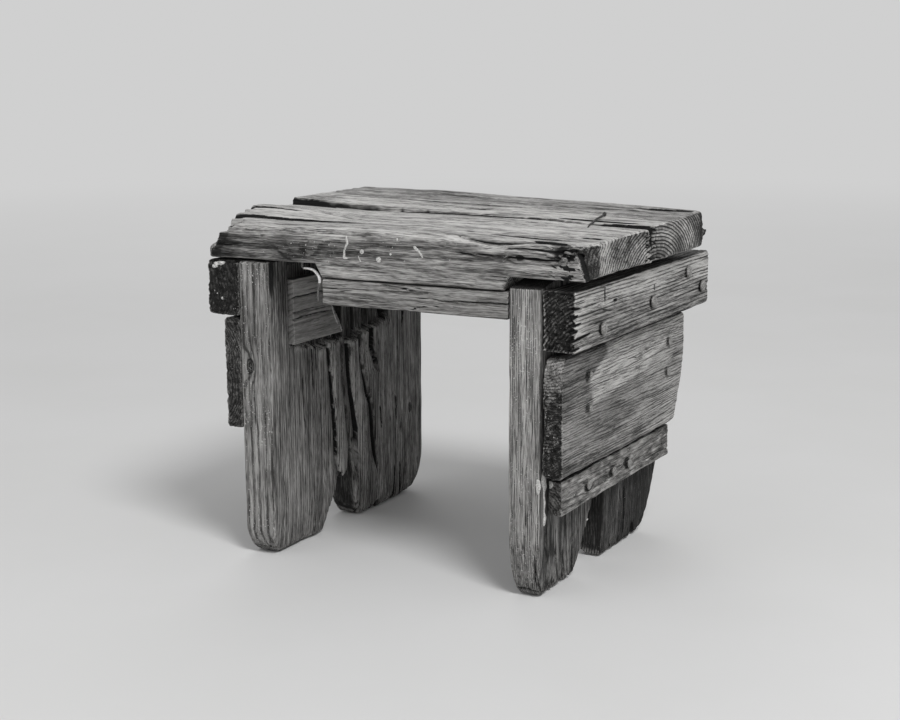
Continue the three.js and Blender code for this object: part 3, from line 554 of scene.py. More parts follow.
def makeSeat():
    look, grain, seed = seat, seat["grain"], seat["seed"]
    low, high = np.array(look["low"], float), np.array(look["high"], float)
    lines = [
        gridLines(low[0], high[0], 138, crowd=((77, 6, 1.5), (-8, 16, 1.2), (298, 13, 4)), snap=look["rebateWalls"]),
        gridLines(low[1], high[1], 242, crowd=((126, 9, 2.6), (8, 14, 1.4), (38, 4, 1), (61, 3, 1), (136, 5, 0.8)),
                  endZone=9, endCrowd=0.4),
        gridLines(low[2], high[2], 28, endZone=5, endCrowd=0.4),
    ]
    bm, p = blankBoard(lines)
    radius = 4.2 + 1.8 * noise(p / 17, seed)
    radius += 3 * smooth(-p[:, 1], -30, 0) * smooth(p[:, 2], 262, 279)
    radius = np.where(p[:, 0] < -15, 1.8, radius)
    p, n = roundEdges(p, low, high, np.clip(radius, 1.5, 8))
    nx, ny, nz = n.T
    x, y = p[:, 0].copy(), p[:, 1].copy()
    share = (p[:, 2] - low[2]) / (high[2] - low[2])

    top = seatTop(x, y)
    splinter = noise(coords(y / 2.6, 0, 3), seed + 2)
    splinterWide = noise(coords(y / 9, 0, 8), seed + 3)
    ragged = 4 * splinter + 5 * splinterWide
    grainFall = 0.8 * noise(coords(x / 14, y / 2.5), seed + 4)
    crown, flake, spur = look["crown"], look["flake"], look["spur"]
    top += crown["height"] * np.exp(-((y - crown["y"]) / crown["reach"]) ** 2) * fall(x, -14, 110) * smooth(y, 4, 40)
    broken = np.zeros(len(p))
    for floor, far, front, back in look["layers"]:
        edge = far + ragged
        inside = smooth(edge - x, -0.6, 1.2) * smooth(y, front - 0.6, front + 0.6)
        inside *= 1 - smooth(y, back - 0.6, back + 0.6)
        level = np.minimum(top, floor + grainFall + 0.03 * (x - low[0]))
        broken = np.maximum(broken, inside * smooth(top - level, 0.5, 3))
        top = top * (1 - inside) + level * inside
    flaked = np.exp(-((x - flake["x"]) / flake["reach"]) ** 2) * fall(y, 5, 12)  # a long flake off the front arris
    top -= flake["depth"] * flaked * (0.7 + 0.3 * splinter)

    bottom = np.interp(x, look["rebateWalls"], (low[2], look["belly"], look["belly"], low[2]))
    p[:, 2] = bottom + share * (top - bottom)

    # both sawn ends, and the rotten corner at the front right
    z = p[:, 2]
    endward = smooth(x, 246, high[0])
    away = 11 * unit(1 - y / 25) * smooth(z, 248, 276) + 1.2 * (1 + np.sin(y * 7 / 247))
    crumble = fractal(coords(x / 6, y / 3, z / 2.6), seed + 6)
    p[:, 0] -= endward * away
    x = p[:, 0].copy()
    reach = zip((x, y, z), look["rotPlace"], look["rotSize"])
    hole = np.exp(-sum(((c - place) / size) ** 2 for c, place, size in reach))
    rotten = unit(1.5 * hole) * (z > 248)
    torn = rotten * (0.55 + 0.75 * crumble)
    p[:, 1] += 9 * unit(torn) * smooth(z, 256, 266)
    p[:, 2] -= 8 * unit(torn) * smooth(z, 268, 275)
    cleft = fall(np.abs(x - (313 - 0.42 * (z - 248))), 0.8, 2.6) * fall(y, 2, 9)
    cleft *= smooth(z, 246, 252) * fall(z, 266, 272)
    p[:, 1] += 5 * cleft
    lower = smooth(x, 270, 290) * fall(z, 258, 266) * fall(y, 1, 5)
    p[:, 1] += 1.6 * lower * unit(0.5 + 1.4 * crumble)
    leftward = fall(x, low[0], 10)
    fray = 0.2 + 2.6 * np.abs(noise(coords(y / 3, z / 1.8), seed + 8)) * smooth(z, 250, 262)
    p[:, 0] += leftward * (fray - 3.4 * fall(z, 256, 266)
                           + np.clip(0.65 * (z - 257), 0, 9) * fall(y, 12, 40))
    nearCorner = fall(p[:, 0], low[0], -14) * fall(y, 0, 8)  # the near corner has rotted off
    p[:, 0] += 6 * nearCorner
    p[:, 1] += 2.5 * nearCorner * np.abs(splinter)

    # a torn splinter at the far end's back corner
    teeth = np.abs(noise(coords(z / 2.2, x / 4), seed + 9))
    tornOut = smooth(x, 294, 308) * smooth(ny, 0.5, 0.9) * np.exp(-((z - spur["z"]) / spur["reach"]) ** 4)
    p[:, 1] += tornOut * (spur["least"] + spur["teeth"] * teeth)

    dark = openSplits(p, grain, (low[0], low[1], bottom), (high[0], high[1], top), look["cracks"], seed + 40)
    depth, checks = weather(p, n, grain, look, seed)
    up = smooth(nz, 0.3, 0.8)
    depth *= 1 - 0.45 * smooth(-ny, 0.5, 0.9)
    crack = np.maximum(checks * 0.8, dark)

    # the end face dries out in rays from the heart
    endFace = smooth(nx, 0.6, 0.9)
    over, above = look["squash"][1] * (y - look["heart"][0]), z - look["heart"][1]
    fromHeart, angle = np.hypot(over, above), np.arctan2(over, above)
    rays = noise(coords(angle * 26, fromHeart / 60), seed + 70)
    rays = fall(np.abs(rays), 0, 0.13) * endFace * smooth(fromHeart, 8, 22)
    rays *= smooth(fractal(p / 14, seed + 71, 2), -0.1, 0.3) * 0.6
    centreLine = 133 + 0.2 * (278 - z) - 1.6 * np.sin(z / 2.2)
    central = fall(np.abs(y - centreLine), 0.9, 2.2) * endFace * smooth(z, 247, 252)
    notches = smooth(noise(coords(z / 1.3, y / 5), seed + 74), 0.05, 0.3) * endFace
    central = np.maximum(central, 0.8 * notches * fall(np.abs(y - 124), 5, 12))
    depth = np.maximum(depth, np.maximum(0.9 * rays, 5 * central))
    mosaic = fractal(p / (5, 2.4, 2.1), seed + 72)
    # the checks, the heart line, rot, the cleft and the torn corners of the end are painted near-black: painted shade,
    # with the rot also dark of itself
    for darkening in (0.5 * rays * smooth(y, 45, 70), central, rotten * smooth(crumble, -0.12, 0.1), cleft,
                 0.9 * lower * smooth(mosaic, 0.12, 0.3), 0.8 * tornOut, 0.5 * nearCorner * smooth(crumble, -0.1, 0.2)):
        crack = np.maximum(crack, darkening)

    # each worm or knot hole is cut in and painted black inside: painted shade
    for centre, size, deep in look["pits"]:
        pit = up * np.exp(-1.2 * (((x - centre[0]) / (size * 1.5)) ** 2 + ((y - centre[1]) / size) ** 2))
        depth = np.maximum(depth, deep * pit)
        crack = np.maximum(crack, 1.2 * pit)
    p -= n * depth[:, None]

    arris = smooth(1 - np.abs(n).max(1), 0.03, 0.2)
    frontFace = smooth(-ny, 0.35, 0.85)
    level = z + 2.5 * grained(p, 0, 14, 50, seed + 80)
    band = smooth(level, 250, 254) * fall(level, 267, 275)
    worn = grained(p, 0, 9, 55, seed + 81)
    soil = frontFace * band * (0.40 - 0.16 * smooth(x, 60, 130) + 0.22 * worn)
    soil += 0.2 * frontFace * fall(x, -22, 20)
    soil += 0.45 * smooth(x, 272, 290) * fall(y, 6, 16) * up
    bands = fractal(coords(fromHeart / 9, angle * 2), seed + 73, 2)
    # the end face is darker at its front, and the underside is painted darker: painted shade
    soil += 0.8 * endFace * fall(y, 22, 29) + 0.3 * fall(nz, -0.9, -0.5)
    soil += endFace * smooth(y, 30, 60) * np.clip(0.37 + 0.45 * bands, 0.2, 0.6)
    soil += 0.6 * endFace * smooth(y, 232, 244) + 0.42 * up * smooth(y, 145, 195) + 0.29 * frontFace
    soil += up * 0.5 * unit(grained(p, 0, 2.2, 24, seed + 85))
    soil += endFace * 0.3 * np.exp(-((y - 81) / (4 + 0.12 * (279 - z))) ** 2)
    soil += endFace * 0.35 * smooth(mosaic, 0.15, 0.35) * fall(y, 100, 130)
    soil += 0.35 * broken * (0.4 + 0.6 * splinter) + 0.3 * nailSpots(p, "seat_") * up
    bleach = up * (0.52 + 0.5 * grained(p, 0, 30, 120, seed + 82)) * smooth(z, 266, 276)
    bleach += 0.55 * frontFace * fall(level, 249, 253) + 0.25 * frontFace * smooth(level, 268, 276)
    bleach += endFace * smooth(y, 26, 36) * np.clip(0.5 * fall(y, 34, 60) - 0.5 * bands, 0, 0.8)
    bleach += 0.4 * endFace * np.exp(-((y - 58) / 13) ** 2) * (0.6 + 0.8 * mosaic)
    bleach += 0.8 * rotten * smooth(-crumble, 0.05, 0.2) + 0.7 * lower * smooth(-mosaic, -0.1, 0.2)
    paint = frontFace * smooth(z, 250, 256) * (0.14 + 0.22 * fractal(p / 18, seed + 84)) * fall(x, 190, 260)
    endGrain = np.maximum(endFace, smooth(-nx, 0.6, 0.9)) * (1 - 0.8 * fall(y, 22, 29))
    marks = {
        "crack": crack, "wear": arris * (0.6 + 0.5 * fractal(p / 8, seed + 83)), "soil": soil,
        "bleach": bleach * (1 - broken * 0.5), "paint": paint,
        "endGrain": endGrain * (1 - 0.5 * endFace * fall(y, 60, 112)),
    }
    finishBoard("seatPlank", bm, p, marks, look)


makeSeat()
print("seat carved")

# The legs: upright boards, each with a cut-out between two feet

leftLeg = {
    **plain, "node": "left_leg", "slot": "leg_wood", "grain": 2, "pith": (60, -80, 0), "material": "darkLegBoard",
    "seed": 131, "low": (0, 0, 0), "high": (31, 250, 248.7), "toe": (6, 22), "heel": (14, 34), "footWear": (46, 3),
    "notch": ((72.3, -7), (82.8, 10.6), (98.9, 39.6), (103.3, 44.2), (108.2, 41.6), (113.2, 44.2), (119.4, 56.8),
        (123.7, 66), (127.5, 62), (129.9, 44.9), (131.8, 25.1), (134.9, 11.9), (141.7, 3.3), (155.4, -7)),
    "light": (0.29, 0.285, 0.278), "dark": (0.042, 0.041, 0.039), "ringSpacing": 3.2, "warp": 0.7,
    "ringContrast": 0.6, "bump": 1.4, "fleckSize": 1.6, "lean": 0.115, "ridge": 3.0, "ridgeDepth": 0.65,
    "waveDepth": 0.9, "endDepth": 1.4, "checkDepth": 1.2, "checkGap": 7,
    "knots": (((9.5, 0, 161), 4.2), ((31, 226, 84), 3)),
    "housing": {"lines": (26.6, 27.2, 195.4, 196.2), "front": 26.9, "back": 195.8, "depth": 8},
    "edge": ((27, 175.6), (39, 174.3), (52, 173.2), (62, 171.1), (72, 167.7), (86, 166.1), (92, 169.5),
        (106, 167.2), (112, 169.8), (123, 165.7), (136, 164.8), (143, 169.5), (160, 169.1), (169, 173.6),
        (185, 176), (196, 198)),
    # the lines between the loosened slats, each from the foot up
    "slats": (
        ((100, 76), (132, 72.6), (166, 72.2)),
        ((44.5, 104.6), (65.3, 100), (94.5, 98.3), (128.4, 94.9), (163, 90.9)),
        ((61, 124.4), (71.8, 123.6), (95.9, 120.1), (115, 117.1), (139.8, 114), (169.8, 111.8)),
        ((58.8, 134.5), (83.5, 134.8), (98.1, 132), (117.7, 127.2), (137.8, 125), (161.1, 123.2)),
        ((15.6, 169.9), (44.5, 166.1), (69.4, 162.2), (87.6, 160.9), (102.3, 158.6), (110.5, 153.2), (127.9, 148.2),
         (143.8, 144.2), (167.2, 143.2)),
        ((130.8, 171.7), (140.8, 168.6), (152.5, 162.2), (169.8, 163.7)),
    ),
    "slatGaps": ((1.5, 1.6), (1.9, 2.6), (2.3, 3.2), (2.0, 2.6), (2.5, 4), (1.9, 2.6)),
    "slatFalls": (0, 0.6, 0.0, 3.2, 0.0, 1.2, 0), "slatBleach": (0, 0.4, 0.8, 0, 1.0, 0.4, 0),
    "cracks": (
        rift(onRight, 2, 3, (166, 151.4), (150, 151.8), (132, 150.9), ends=(1, 0), farWall=0),
        rift(onRight, 1.4, 2.4, (105.4, 192.8), (99, 200.9), (79.4, 201.6), (71.8, 202.6), farWall=0.6),
        rift(onRight, 1.2, 1.6, (97.3, 172), (87.4, 173.5), (72.9, 174.1)),
        rift(onRight, 1.6, 5, (37.4, 197.1), (18.7, 197.9), (0, 197.9), ends=(1, 0)),
        rift(onRight, 1.7, 5, (37.5, 207.3), (18.6, 208.8), (0, 210.6), ends=(1, 0)),
        rift(onRight, 1.1, 2, (176, 60), (150, 61), (128, 62), ends=(0, 1)),
        rift(onRight, 1.2, 2, (176, 66.5), (160, 66), (144, 68), ends=(0, 1)),
        rift(onRight, 0.9, 0.7, (150, 46), (120, 47), (90, 49)),
        rift(onFront, 1.2, 1.2, (157, 12), (140, 12.5), (110, 13)),
        rift(onFront, 1.0, 0.8, (60, 22), (46, 21), (34, 22)),
        rift(onRight, 1.8, 3, (240, 214), (200, 216), (160, 213)),
    ),
}
rightLeg = {
    **plain, "node": "right_leg", "slot": "leg_wood", "grain": 2, "pith": (150, 20, 0), "material": "paleLegBoard",
    "seed": 231, "low": (247.3, 0, 0), "high": (274.7, 250, 248.7), "toe": (7, 50), "heel": (38, 105),
    "footWear": (46, 3), "notch": ((67.6, -6.2), (79.4, 5), (96.4, 35.3), (102.3, 49.6), (106, 59.5), (112.7, 62),
        (122.3, 60.8), (129, 55.8), (133.4, 34.1), (136.4, 11.8), (142.3, 2.5), (149.7, -6.2)),
    "light": (0.375, 0.369, 0.36), "dark": (0.045, 0.044, 0.042), "ringSpacing": 1.7, "warp": 0.8,
    "ringContrast": 0.6, "bump": 1.4, "ridge": 2.6, "ridgeDepth": 0.6, "waveDepth": 0.9, "endDepth": 1.4,
    "checkDepth": 1.2, "checkGap": 7,
    "cracks": (
        rift(onRight, 3, 7, (17, 47.5), (8, 47.5), (0, 48.7), ends=(1, 0), farWall=0.5),
        rift(onRight, 2, 5, (32, 62.5), (16, 63.7), (0, 66.2), ends=(1, 0), farWall=0.5),
        rift(onRight, 1.2, 2, (52, 30), (35, 31.2), (16, 32.5), farWall=0.5),
        rift(onRight, 1.4, 2, (58, 14), (40, 12), (24, 15), farWall=0.5),
        rift(onRight, 6, 9, (14, 190), (5, 192.5), (0, 193.7), ends=(1, 0)),
        rift(onRight, 1.6, 4, (52, 167.5), (30, 170), (7, 171)),
        rift(onFront, 1.2, 1, (60, 262), (40, 261), (20, 262)),
        rift(onFront, 1.4, 2, (40, 269), (24, 269.5), (6, 269)),
    ),
}


def legBlank(look, seed, snapY=(), shoulder=None):
    low, high = np.array(look["low"], float), np.array(look["high"], float)
    lines = [
        gridLines(low[0], high[0], 24, endZone=4, endCrowd=0.6),
        gridLines(low[1], high[1], 320, crowd=((125, 35, 0.8),), snap=snapY, endCrowd=0.5),
        gridLines(low[2], high[2], 84, crowd=((0, 20, 0.8),), endCrowd=1.5),
    ]
    bm, p = blankBoard(lines)
    y, z = p[:, 1], p[:, 2]
    # the net leans as the slats do
    p[:, 1] += look["lean"] * np.clip(167 - z, 0, None) * smooth(y, 30, 95) * fall(y, 175, 245)
    radius = 2.0 + 1.2 * noise(p / 15, seed)
    radius += 4 * fall(p[:, 2], 0, 25)
    p, n = roundEdges(p, low, high, np.clip(radius, 1.2, 7))
    y = p[:, 1].copy()
    share = p[:, 2] / high[2]
    notch = np.array(look["notch"])
    foot = np.clip(np.interp(y, notch[:, 0], notch[:, 1], left=0, right=0), 0, None)
    fray = np.abs(noise(coords(y / 2.2, p[:, 0] / 5), seed + 1))
    foot += smooth(foot, 3, 15) * 3.4 * fray
    roundFoot = 4 * unit((y - 228) / 22) ** 2 + 5 * unit((8 - y) / 8) ** 2
    chips = 5 * smooth(noise(coords(y / 4.5, p[:, 0] / 9), seed + 2), 0.2, 0.5)
    foot = np.maximum(foot, roundFoot + (1.3 * fray + chips) * fall(share, 0, 0.12) * smooth(y, 10, 30))
    upper = high[2]
    if shoulder is None:
        p[:, 2] = foot + share * (upper - foot)
    else:
        edge, at = shoulder(y), 0.7  # the share of the net's rows that lie below the edge
        above = edge + (share - at) / (1 - at) * (upper - edge)
        p[:, 2] = np.where(share < at, foot + share / at * (edge - foot), above)
    z = p[:, 2]
    middle, half = (low[0] + high[0]) / 2, (high[0] - low[0]) / 2
    thinHeight, thin = look["footWear"]
    p[:, 0] -= thin * unit(1 - z / thinHeight) ** 2 * (p[:, 0] - middle) / half
    back = y / high[1]
    for (length, height), sign, part in ((look["toe"], 1, 1 - back), (look["heel"], -1, back)):
        p[:, 1] += sign * part * length * unit(1 - z / height) ** 1.7
    return bm, p, n


def legMarks(p, n, look, gaps=()):
    seed, front = look["seed"], smooth(-n[:, 1], 0.4, 0.8)
    dark = openSplits(p, 2, look["low"], look["high"], (*gaps, *look["cracks"]), seed + 40)
    depth, checks = weather(p, n, 2, look, seed)
    wear = smooth(1 - np.abs(n).max(1), 0.03, 0.2) * (0.55 + 0.45 * fractal(p / 9, seed + 83))
    return depth * (1 - 0.35 * front), np.maximum(checks * (0.75 - 0.5 * front), dark), wear


def finishLeg(name, bm, p, n, look, under, crack, **marks):
    marks.update(crack=crack * (1 - 0.9 * under), endGrain=smooth(np.abs(n[:, 2]), 0.6, 0.9) * (1 - under))
    finishBoard(name, bm, p, marks, look)


def makeLeftLeg():
    look, seed, housing = leftLeg, leftLeg["seed"], leftLeg["housing"]
    edge = np.array(look["edge"], float)

    def shoulder(y):
        jag = 2.2 * noise(coords(y / 1.5), seed + 3)
        return np.interp(y, edge[:, 0], edge[:, 1]) + jag * ((y > 27) & (y < 180))

    bm, p, n = legBlank(look, seed, housing["lines"], shoulder)
    nx, ny, nz = n.T
    x, y, z = p.T.copy()
    inner = smooth(nx, 0.3, 0.7)
    gaps = [rift(onRight, width, deep, *path, ends=(0, 1), wander=0.3, farWall=0)
            for path, (width, deep) in zip(look["slats"], look["slatGaps"])]
    depth, crack, wear = legMarks(p, n, look, gaps)

    # loosened slats below the housing, each rounded and set at its own height
    bounds = []
    for path in look["slats"]:
        line = np.array(sorted(path))
        bounds.append(np.interp(z, line[:, 0], line[:, 1]))
    bounds = np.stack(bounds, 1)
    which = (y[:, None] > bounds).sum(1)
    row = np.arange(len(y))
    lowEdge = bounds[row, np.clip(which - 1, 0, bounds.shape[1] - 1)]
    width = bounds[row, np.clip(which, 0, bounds.shape[1] - 1)] - lowEdge
    across = unit((y - lowEdge) / np.maximum(width, 1))
    inside = (which > 0) & (which < bounds.shape[1])
    fade = smooth(z, 30, 60) * inside * np.where(which == 5, smooth(z, 126, 136), 1)
    depth += inner * fade * (np.array(look["slatFalls"])[which] + 2.6 * np.abs(2 * across - 0.7) ** 2.2)
    slatPale = np.array(look["slatBleach"])[which] * inner * fade

    hollow = (z > shoulder(y) + 0.2) & (y > housing["front"]) & (y < housing["back"])
    depth += inner * hollow * (housing["depth"] + 0.7 * grained(p, 2, 3, 30, seed + 6))
    hole = spot(y, z, (189, 182), 5, 9) * inner
    depth += 5 * hole
    bump = spot(y, z, (180, 158), 9, 17) * inner
    depth = depth * (1 - 0.7 * bump)
    p -= n * depth[:, None]

    torn = inner * fall(np.abs(z - shoulder(y) + 2), 1.5, 5) * (y > 34) * (y < 170)
    bleach = 1.4 * torn * (0.4 + 0.7 * np.abs(noise(coords(y / 1.8, z / 9), seed + 8)))
    front = smooth(-ny, 0.4, 0.9)
    bleach += front * (0.24 + 0.6 * grained(p, 2, 8, 40, seed + 9))
    # each slat is painted paler along its front edge than at its back: painted highlight on the rounded slats
    bleach += slatPale * (1 - hollow) * (1.25 - 1.5 * across) * (1 + 0.6 * grained(p, 2, 3, 40, seed + 13))
    bleach += 0.9 * inner * unit(grained(p, 2, 2.0, 18, seed + 16)) * (1 - hollow)
    under = (nz < -0.5) * smooth(z, 1, 9)
    soil = 0.02 + 0.16 * smooth(y, 165, 215) + 0.15 * grained(p, 2, 20, 80, seed + 12)
    # the housing recess under the seat and the hole in it are painted dark: painted shade
    soil = 0.6 * hollow * inner + inner * (1 - hollow) * soil + 0.8 * hole
    # the undersides of the notch and the feet are painted dark, less so near the outer arris of the back foot: painted
    # shade
    soil += under * (0.85 - 0.65 * smooth(x, 22, 27) * (y > 124))
    # a dark band down the inner face just in front of the patch: painted shadow
    soil += 0.55 * inner * fall(y, 26, 34) * smooth(z, 150, 235)
    # one slat is darker; each slat is painted darker toward its back edge, and the leg's top under the seat is painted
    # dark: painted shade
    soil += 0.35 * inner * (which == 3) * fade + 0.3 * slatPale * across + 0.5 * (nz > 0.5) * (z > 230)
    bleach += 0.5 * bump
    soil += front * unit(0.3 * fractal(p / 11, seed + 14))
    paint = front * (0.26 + 0.2 * fractal(p / 20, seed + 15))
    crack *= 1 - 0.6 * hollow
    finishLeg("leftLegBoard", bm, p, n, look, under, crack, wear=wear, soil=soil, bleach=bleach, paint=paint)


def makeRightLeg():
    look, seed = rightLeg, rightLeg["seed"]
    bm, p, n = legBlank(look, seed)
    nx, ny, nz = n.T
    y, z = p[:, 1].copy(), p[:, 2].copy()
    nearTop = unit(1 - (look["high"][2] - z) / 40)
    p[:, 2] -= 6 * nearTop * unit(1 - y / 34)  # the top is worn down at the front
    depth, crack, wear = legMarks(p, n, look)
    p -= n * depth[:, None]
    outer = smooth(nx, 0.4, 0.8)
    front = smooth(-ny, 0.4, 0.9)
    bleach = front * (0.4 + 0.9 * grained(p, 2, 4.5, 40, seed + 9)) * smooth(z, 20, 60)
    soil = outer * (0.53 + 0.34 * smooth(y, 60, 190) + 0.2 * grained(p, 2, 12, 60, seed + 12))
    # the top, under the seat, is painted dark: painted shade
    soil += 0.9 * (nz > 0.5) * (z > 225)
    under = (nz < -0.5) * smooth(z, 1, 9)
    # the undersides of the notch and the feet are painted dark: painted shade
    soil += 0.85 * under + front * unit(0.35 * fractal(p / 10, seed + 14))
    soil += 0.4 * front * fall(z, 4, 30) * (0.5 + 0.5 * fractal(p / 9, seed + 10))
    paint = front * (0.3 + 0.2 * fractal(p / 20, seed + 15)) + 0.1 * outer
    finishLeg("rightLegBoard", bm, p, n, look, under, crack, wear=wear, soil=soil, bleach=bleach, paint=paint)


makeLeftLeg()
makeRightLeg()
print("legs carved")

# Boards nailed across the legs, the apron and the patch

boards = {
    "frontApron": {
        "node": "front_apron", "slot": "seat_wood", "grain": 0, "counts": (90, 26, 26), "edge": 1.6,
        "pith": (0, 60, 190), "light": (0.335, 0.33, 0.322), "dark": (0.06, 0.058, 0.055), "ringSpacing": 2.4,
        "warp": 2, "ringContrast": 0.5, "streaks": 0.3, "ridge": 2.4, "ridgeDepth": 0.3, "waveDepth": 0.5,
        "endDepth": 0.8, "bleach": 0.25, "soil": 0.04, "paint": 0.12, "checkGap": 5, "bump": 1.2,
        "cracks": (
            rift(onFront, 1.2, 1.4, (150, 229), (200, 228), (247, 229), ends=(0, 1)),
            rift(onFront, 0.9, 0.7, (72, 224), (110, 225), (150, 223)),
        ),
    },
    "rightTopCleat": {
        "node": "right_top_cleat", "counts": (28, 120, 70), "edge": 2.6, "pith": (330, 0, 170),
        "light": (0.41, 0.403, 0.393), "dark": (0.045, 0.044, 0.042), "ringSpacing": 2.6, "warp": 1.2,
        "ringContrast": 0.75, "streaks": 0.8, "ridge": 2.9, "ridgeDepth": 0.4, "waveDepth": 0.7, "endDepth": 3.6,
        "bleach": 0.3, "soil": 0.02, "paint": 0.1, "endPaint": 0.22, "frontDirt": 1.08, "checkDepth": 0.8,
        "bump": 1.5, "fleckSize": 1.4, "nicks": (((58.8, 233), 1.6, 7), ((161, 225), 1.6, 3),
            ((79, 225.5), 4, 1.4)),
        "cracks": (
            rift(onRight, 2.4, 4, (-1, 204), (14, 205), (34, 207), ends=(1, 0)),
            rift(onRight, 1.8, 3, (-1, 197.5), (4, 198), (12, 197.6), ends=(1, 0)),
            rift(onRight, 2.2, 3, (-1, 210.8), (4, 211), (9, 211.4), ends=(1, 0)),
            rift(onRight, 1.7, 3, (-1, 216.5), (5, 216.2), (15, 217), ends=(1, 0)),
            rift(onRight, 2.4, 3, (-1, 222.4), (4, 222.4), (8, 222.8), ends=(1, 0)),
            rift(onRight, 1.5, 2.4, (-1, 228.6), (5, 228.8), (13, 228.4), ends=(1, 0)),
            rift(onRight, 1.1, 0.8, (230, 211), (260, 210), (289, 212), ends=(0, 1), farWall=0.3),
        ),
    },
    "rightSideBoard": {
        "node": "right_side_board", "counts": (18, 110, 130), "edge": 4.6, "pith": (310, 0, 40),
        "light": (0.33, 0.324, 0.316), "dark": (0.08, 0.078, 0.075), "ringSpacing": 2.3, "warp": 4,
        "ringContrast": 0.6, "endWeave": 0.15, "streaks": 0.3, "ridge": 2.8, "ridgeDepth": 0.25, "waveDepth": 1.0,
        "endDepth": 2.4, "bleach": 0.1, "soil": 0.02, "paint": 0.06, "endPaint": 0.25, "frontDirt": 0.95,
        "dome": 13, "backCut": (22, 62), "checkGap": 12, "checkDepth": 0.7, "bump": 1.3, "nailDirt": 0.45,
    },
    "rightLowBatten": {
        "node": "right_low_batten", "counts": (14, 110, 44), "edge": 1.8, "pith": (270, 0, 60),
        "light": (0.32, 0.314, 0.305), "dark": (0.07, 0.068, 0.065), "ringSpacing": 2.4, "warp": 3,
        "ringContrast": 0.4, "ridge": 3, "ridgeDepth": 0.35, "waveDepth": 0.8, "endDepth": 1.8, "paint": 0.14,
        "endPaint": 0.12, "endWeave": 0.2, "fleckSize": 2.6, "frontDirt": 0.75, "bump": 1.2, "mottle": 1.0,
        "checkDepth": 0.8, "knots": (((287, 112, 78), 3.6), ((287, 142, 80), 4), ((287, 66, 76), 2.6)),
        "cracks": (rift(onRight, 1.2, 1.2, (170, 72), (200, 73), (240, 71), ends=(0, 1), farWall=0.4),),
    },
    "leftTopCleat": {
        "node": "left_top_cleat", "counts": (34, 90, 48), "edge": 5.5, "pith": (-60, 0, 225),
        "light": (0.22, 0.216, 0.21), "dark": (0.04, 0.039, 0.037), "ringSpacing": 2.8, "warp": 3,
        "ringContrast": 0.5, "ridge": 3, "ridgeDepth": 0.4, "waveDepth": 1.2, "endDepth": 2.6, "bleach": 0.12,
        "soil": 0.1, "paint": 0.1, "endPaint": 0.22, "frontDirt": 1.05, "bump": 1.4, "endWeave": 0.3,
    },
    "leftSideBoard": {
        "node": "left_side_board", "counts": (16, 90, 110), "edge": 4, "pith": (-80, 0, 150),
        "light": (0.25, 0.245, 0.239), "dark": (0.05, 0.049, 0.047), "ringSpacing": 2.6, "warp": 4,
        "ringContrast": 0.5, "ridge": 3, "ridgeDepth": 0.4, "waveDepth": 1, "endDepth": 1.8, "bleach": 0.15,
        "soil": 0.05, "paint": 0.1, "endPaint": 0.2, "frontDirt": 0.8, "bump": 1.3, "endWeave": 0.4, "rise": 2.8,
    },
    "housedPatch": {
        "node": "housed_patch", "slot": "patch_wood", "counts": (10, 70, 60), "edge": 0.9, "pith": (60, 0, 140),
        "light": (0.37, 0.363, 0.354), "dark": (0.2, 0.196, 0.19), "ringSpacing": 4, "warp": 2,
        "ringContrast": 0.25, "ridge": 4, "ridgeDepth": 0.25, "waveDepth": 0.35, "endDepth": 0.5, "soil": 0.04,
        "paint": 0.1, "checkDepth": 0.3, "backSlant": 28,
        "cracks": (
            rift(onRight, 1.0, 1.6, (28, 196.5), (50, 197.5), (92, 197), ends=(1, 0), farWall=0.6),
            rift(onRight, 0.9, 1.4, (28, 202), (50, 203), (92, 202), ends=(1, 0), farWall=0.5),
            rift(onRight, 1.0, 1.6, (28, 214.5), (50, 215.5), (92, 215), ends=(1, 0), farWall=0.6),
        ),
    },
}


def panelTouch(p, n, bleach, soil):  # a scrubbed pale sweep across the side board, dark below and to the left of it
    y, z = p[:, 1], p[:, 2]
    outer = smooth(n[:, 0], 0.5, 0.8)
    wobble = 3 * fractal(p / 11, 611)
    left = np.interp(z, (148, 166, 182), (59, 51, 85)) + wobble
    below = np.interp(y, (50, 60, 110, 168, 215, 245), (150, 148, 150, 157, 174, 180)) + wobble
    sweep = outer * smooth(y - left, -2, 4) * smooth(z - below, -3, 2)
    bleach += sweep + 0.4 * outer * smooth(y, 110, 190) + 0.5 * outer * spot(y, z, (239, 100), 34, 34)
    soil += 0.42 * outer * fall(y - left, -4, 1) * smooth(z, 140, 150)
    for share, place, size in ((0.2, (111, 143), 11), (0.25, (150, 104), 18), (0.3, (10, 105), 12)):
        soil += share * outer * spot(y, z, place, size, size)
    soil += 0.16 * outer * fall(z, 104, 132) * fall(y, 150, 210)
    return bleach, soil * (1 - 0.9 * sweep)


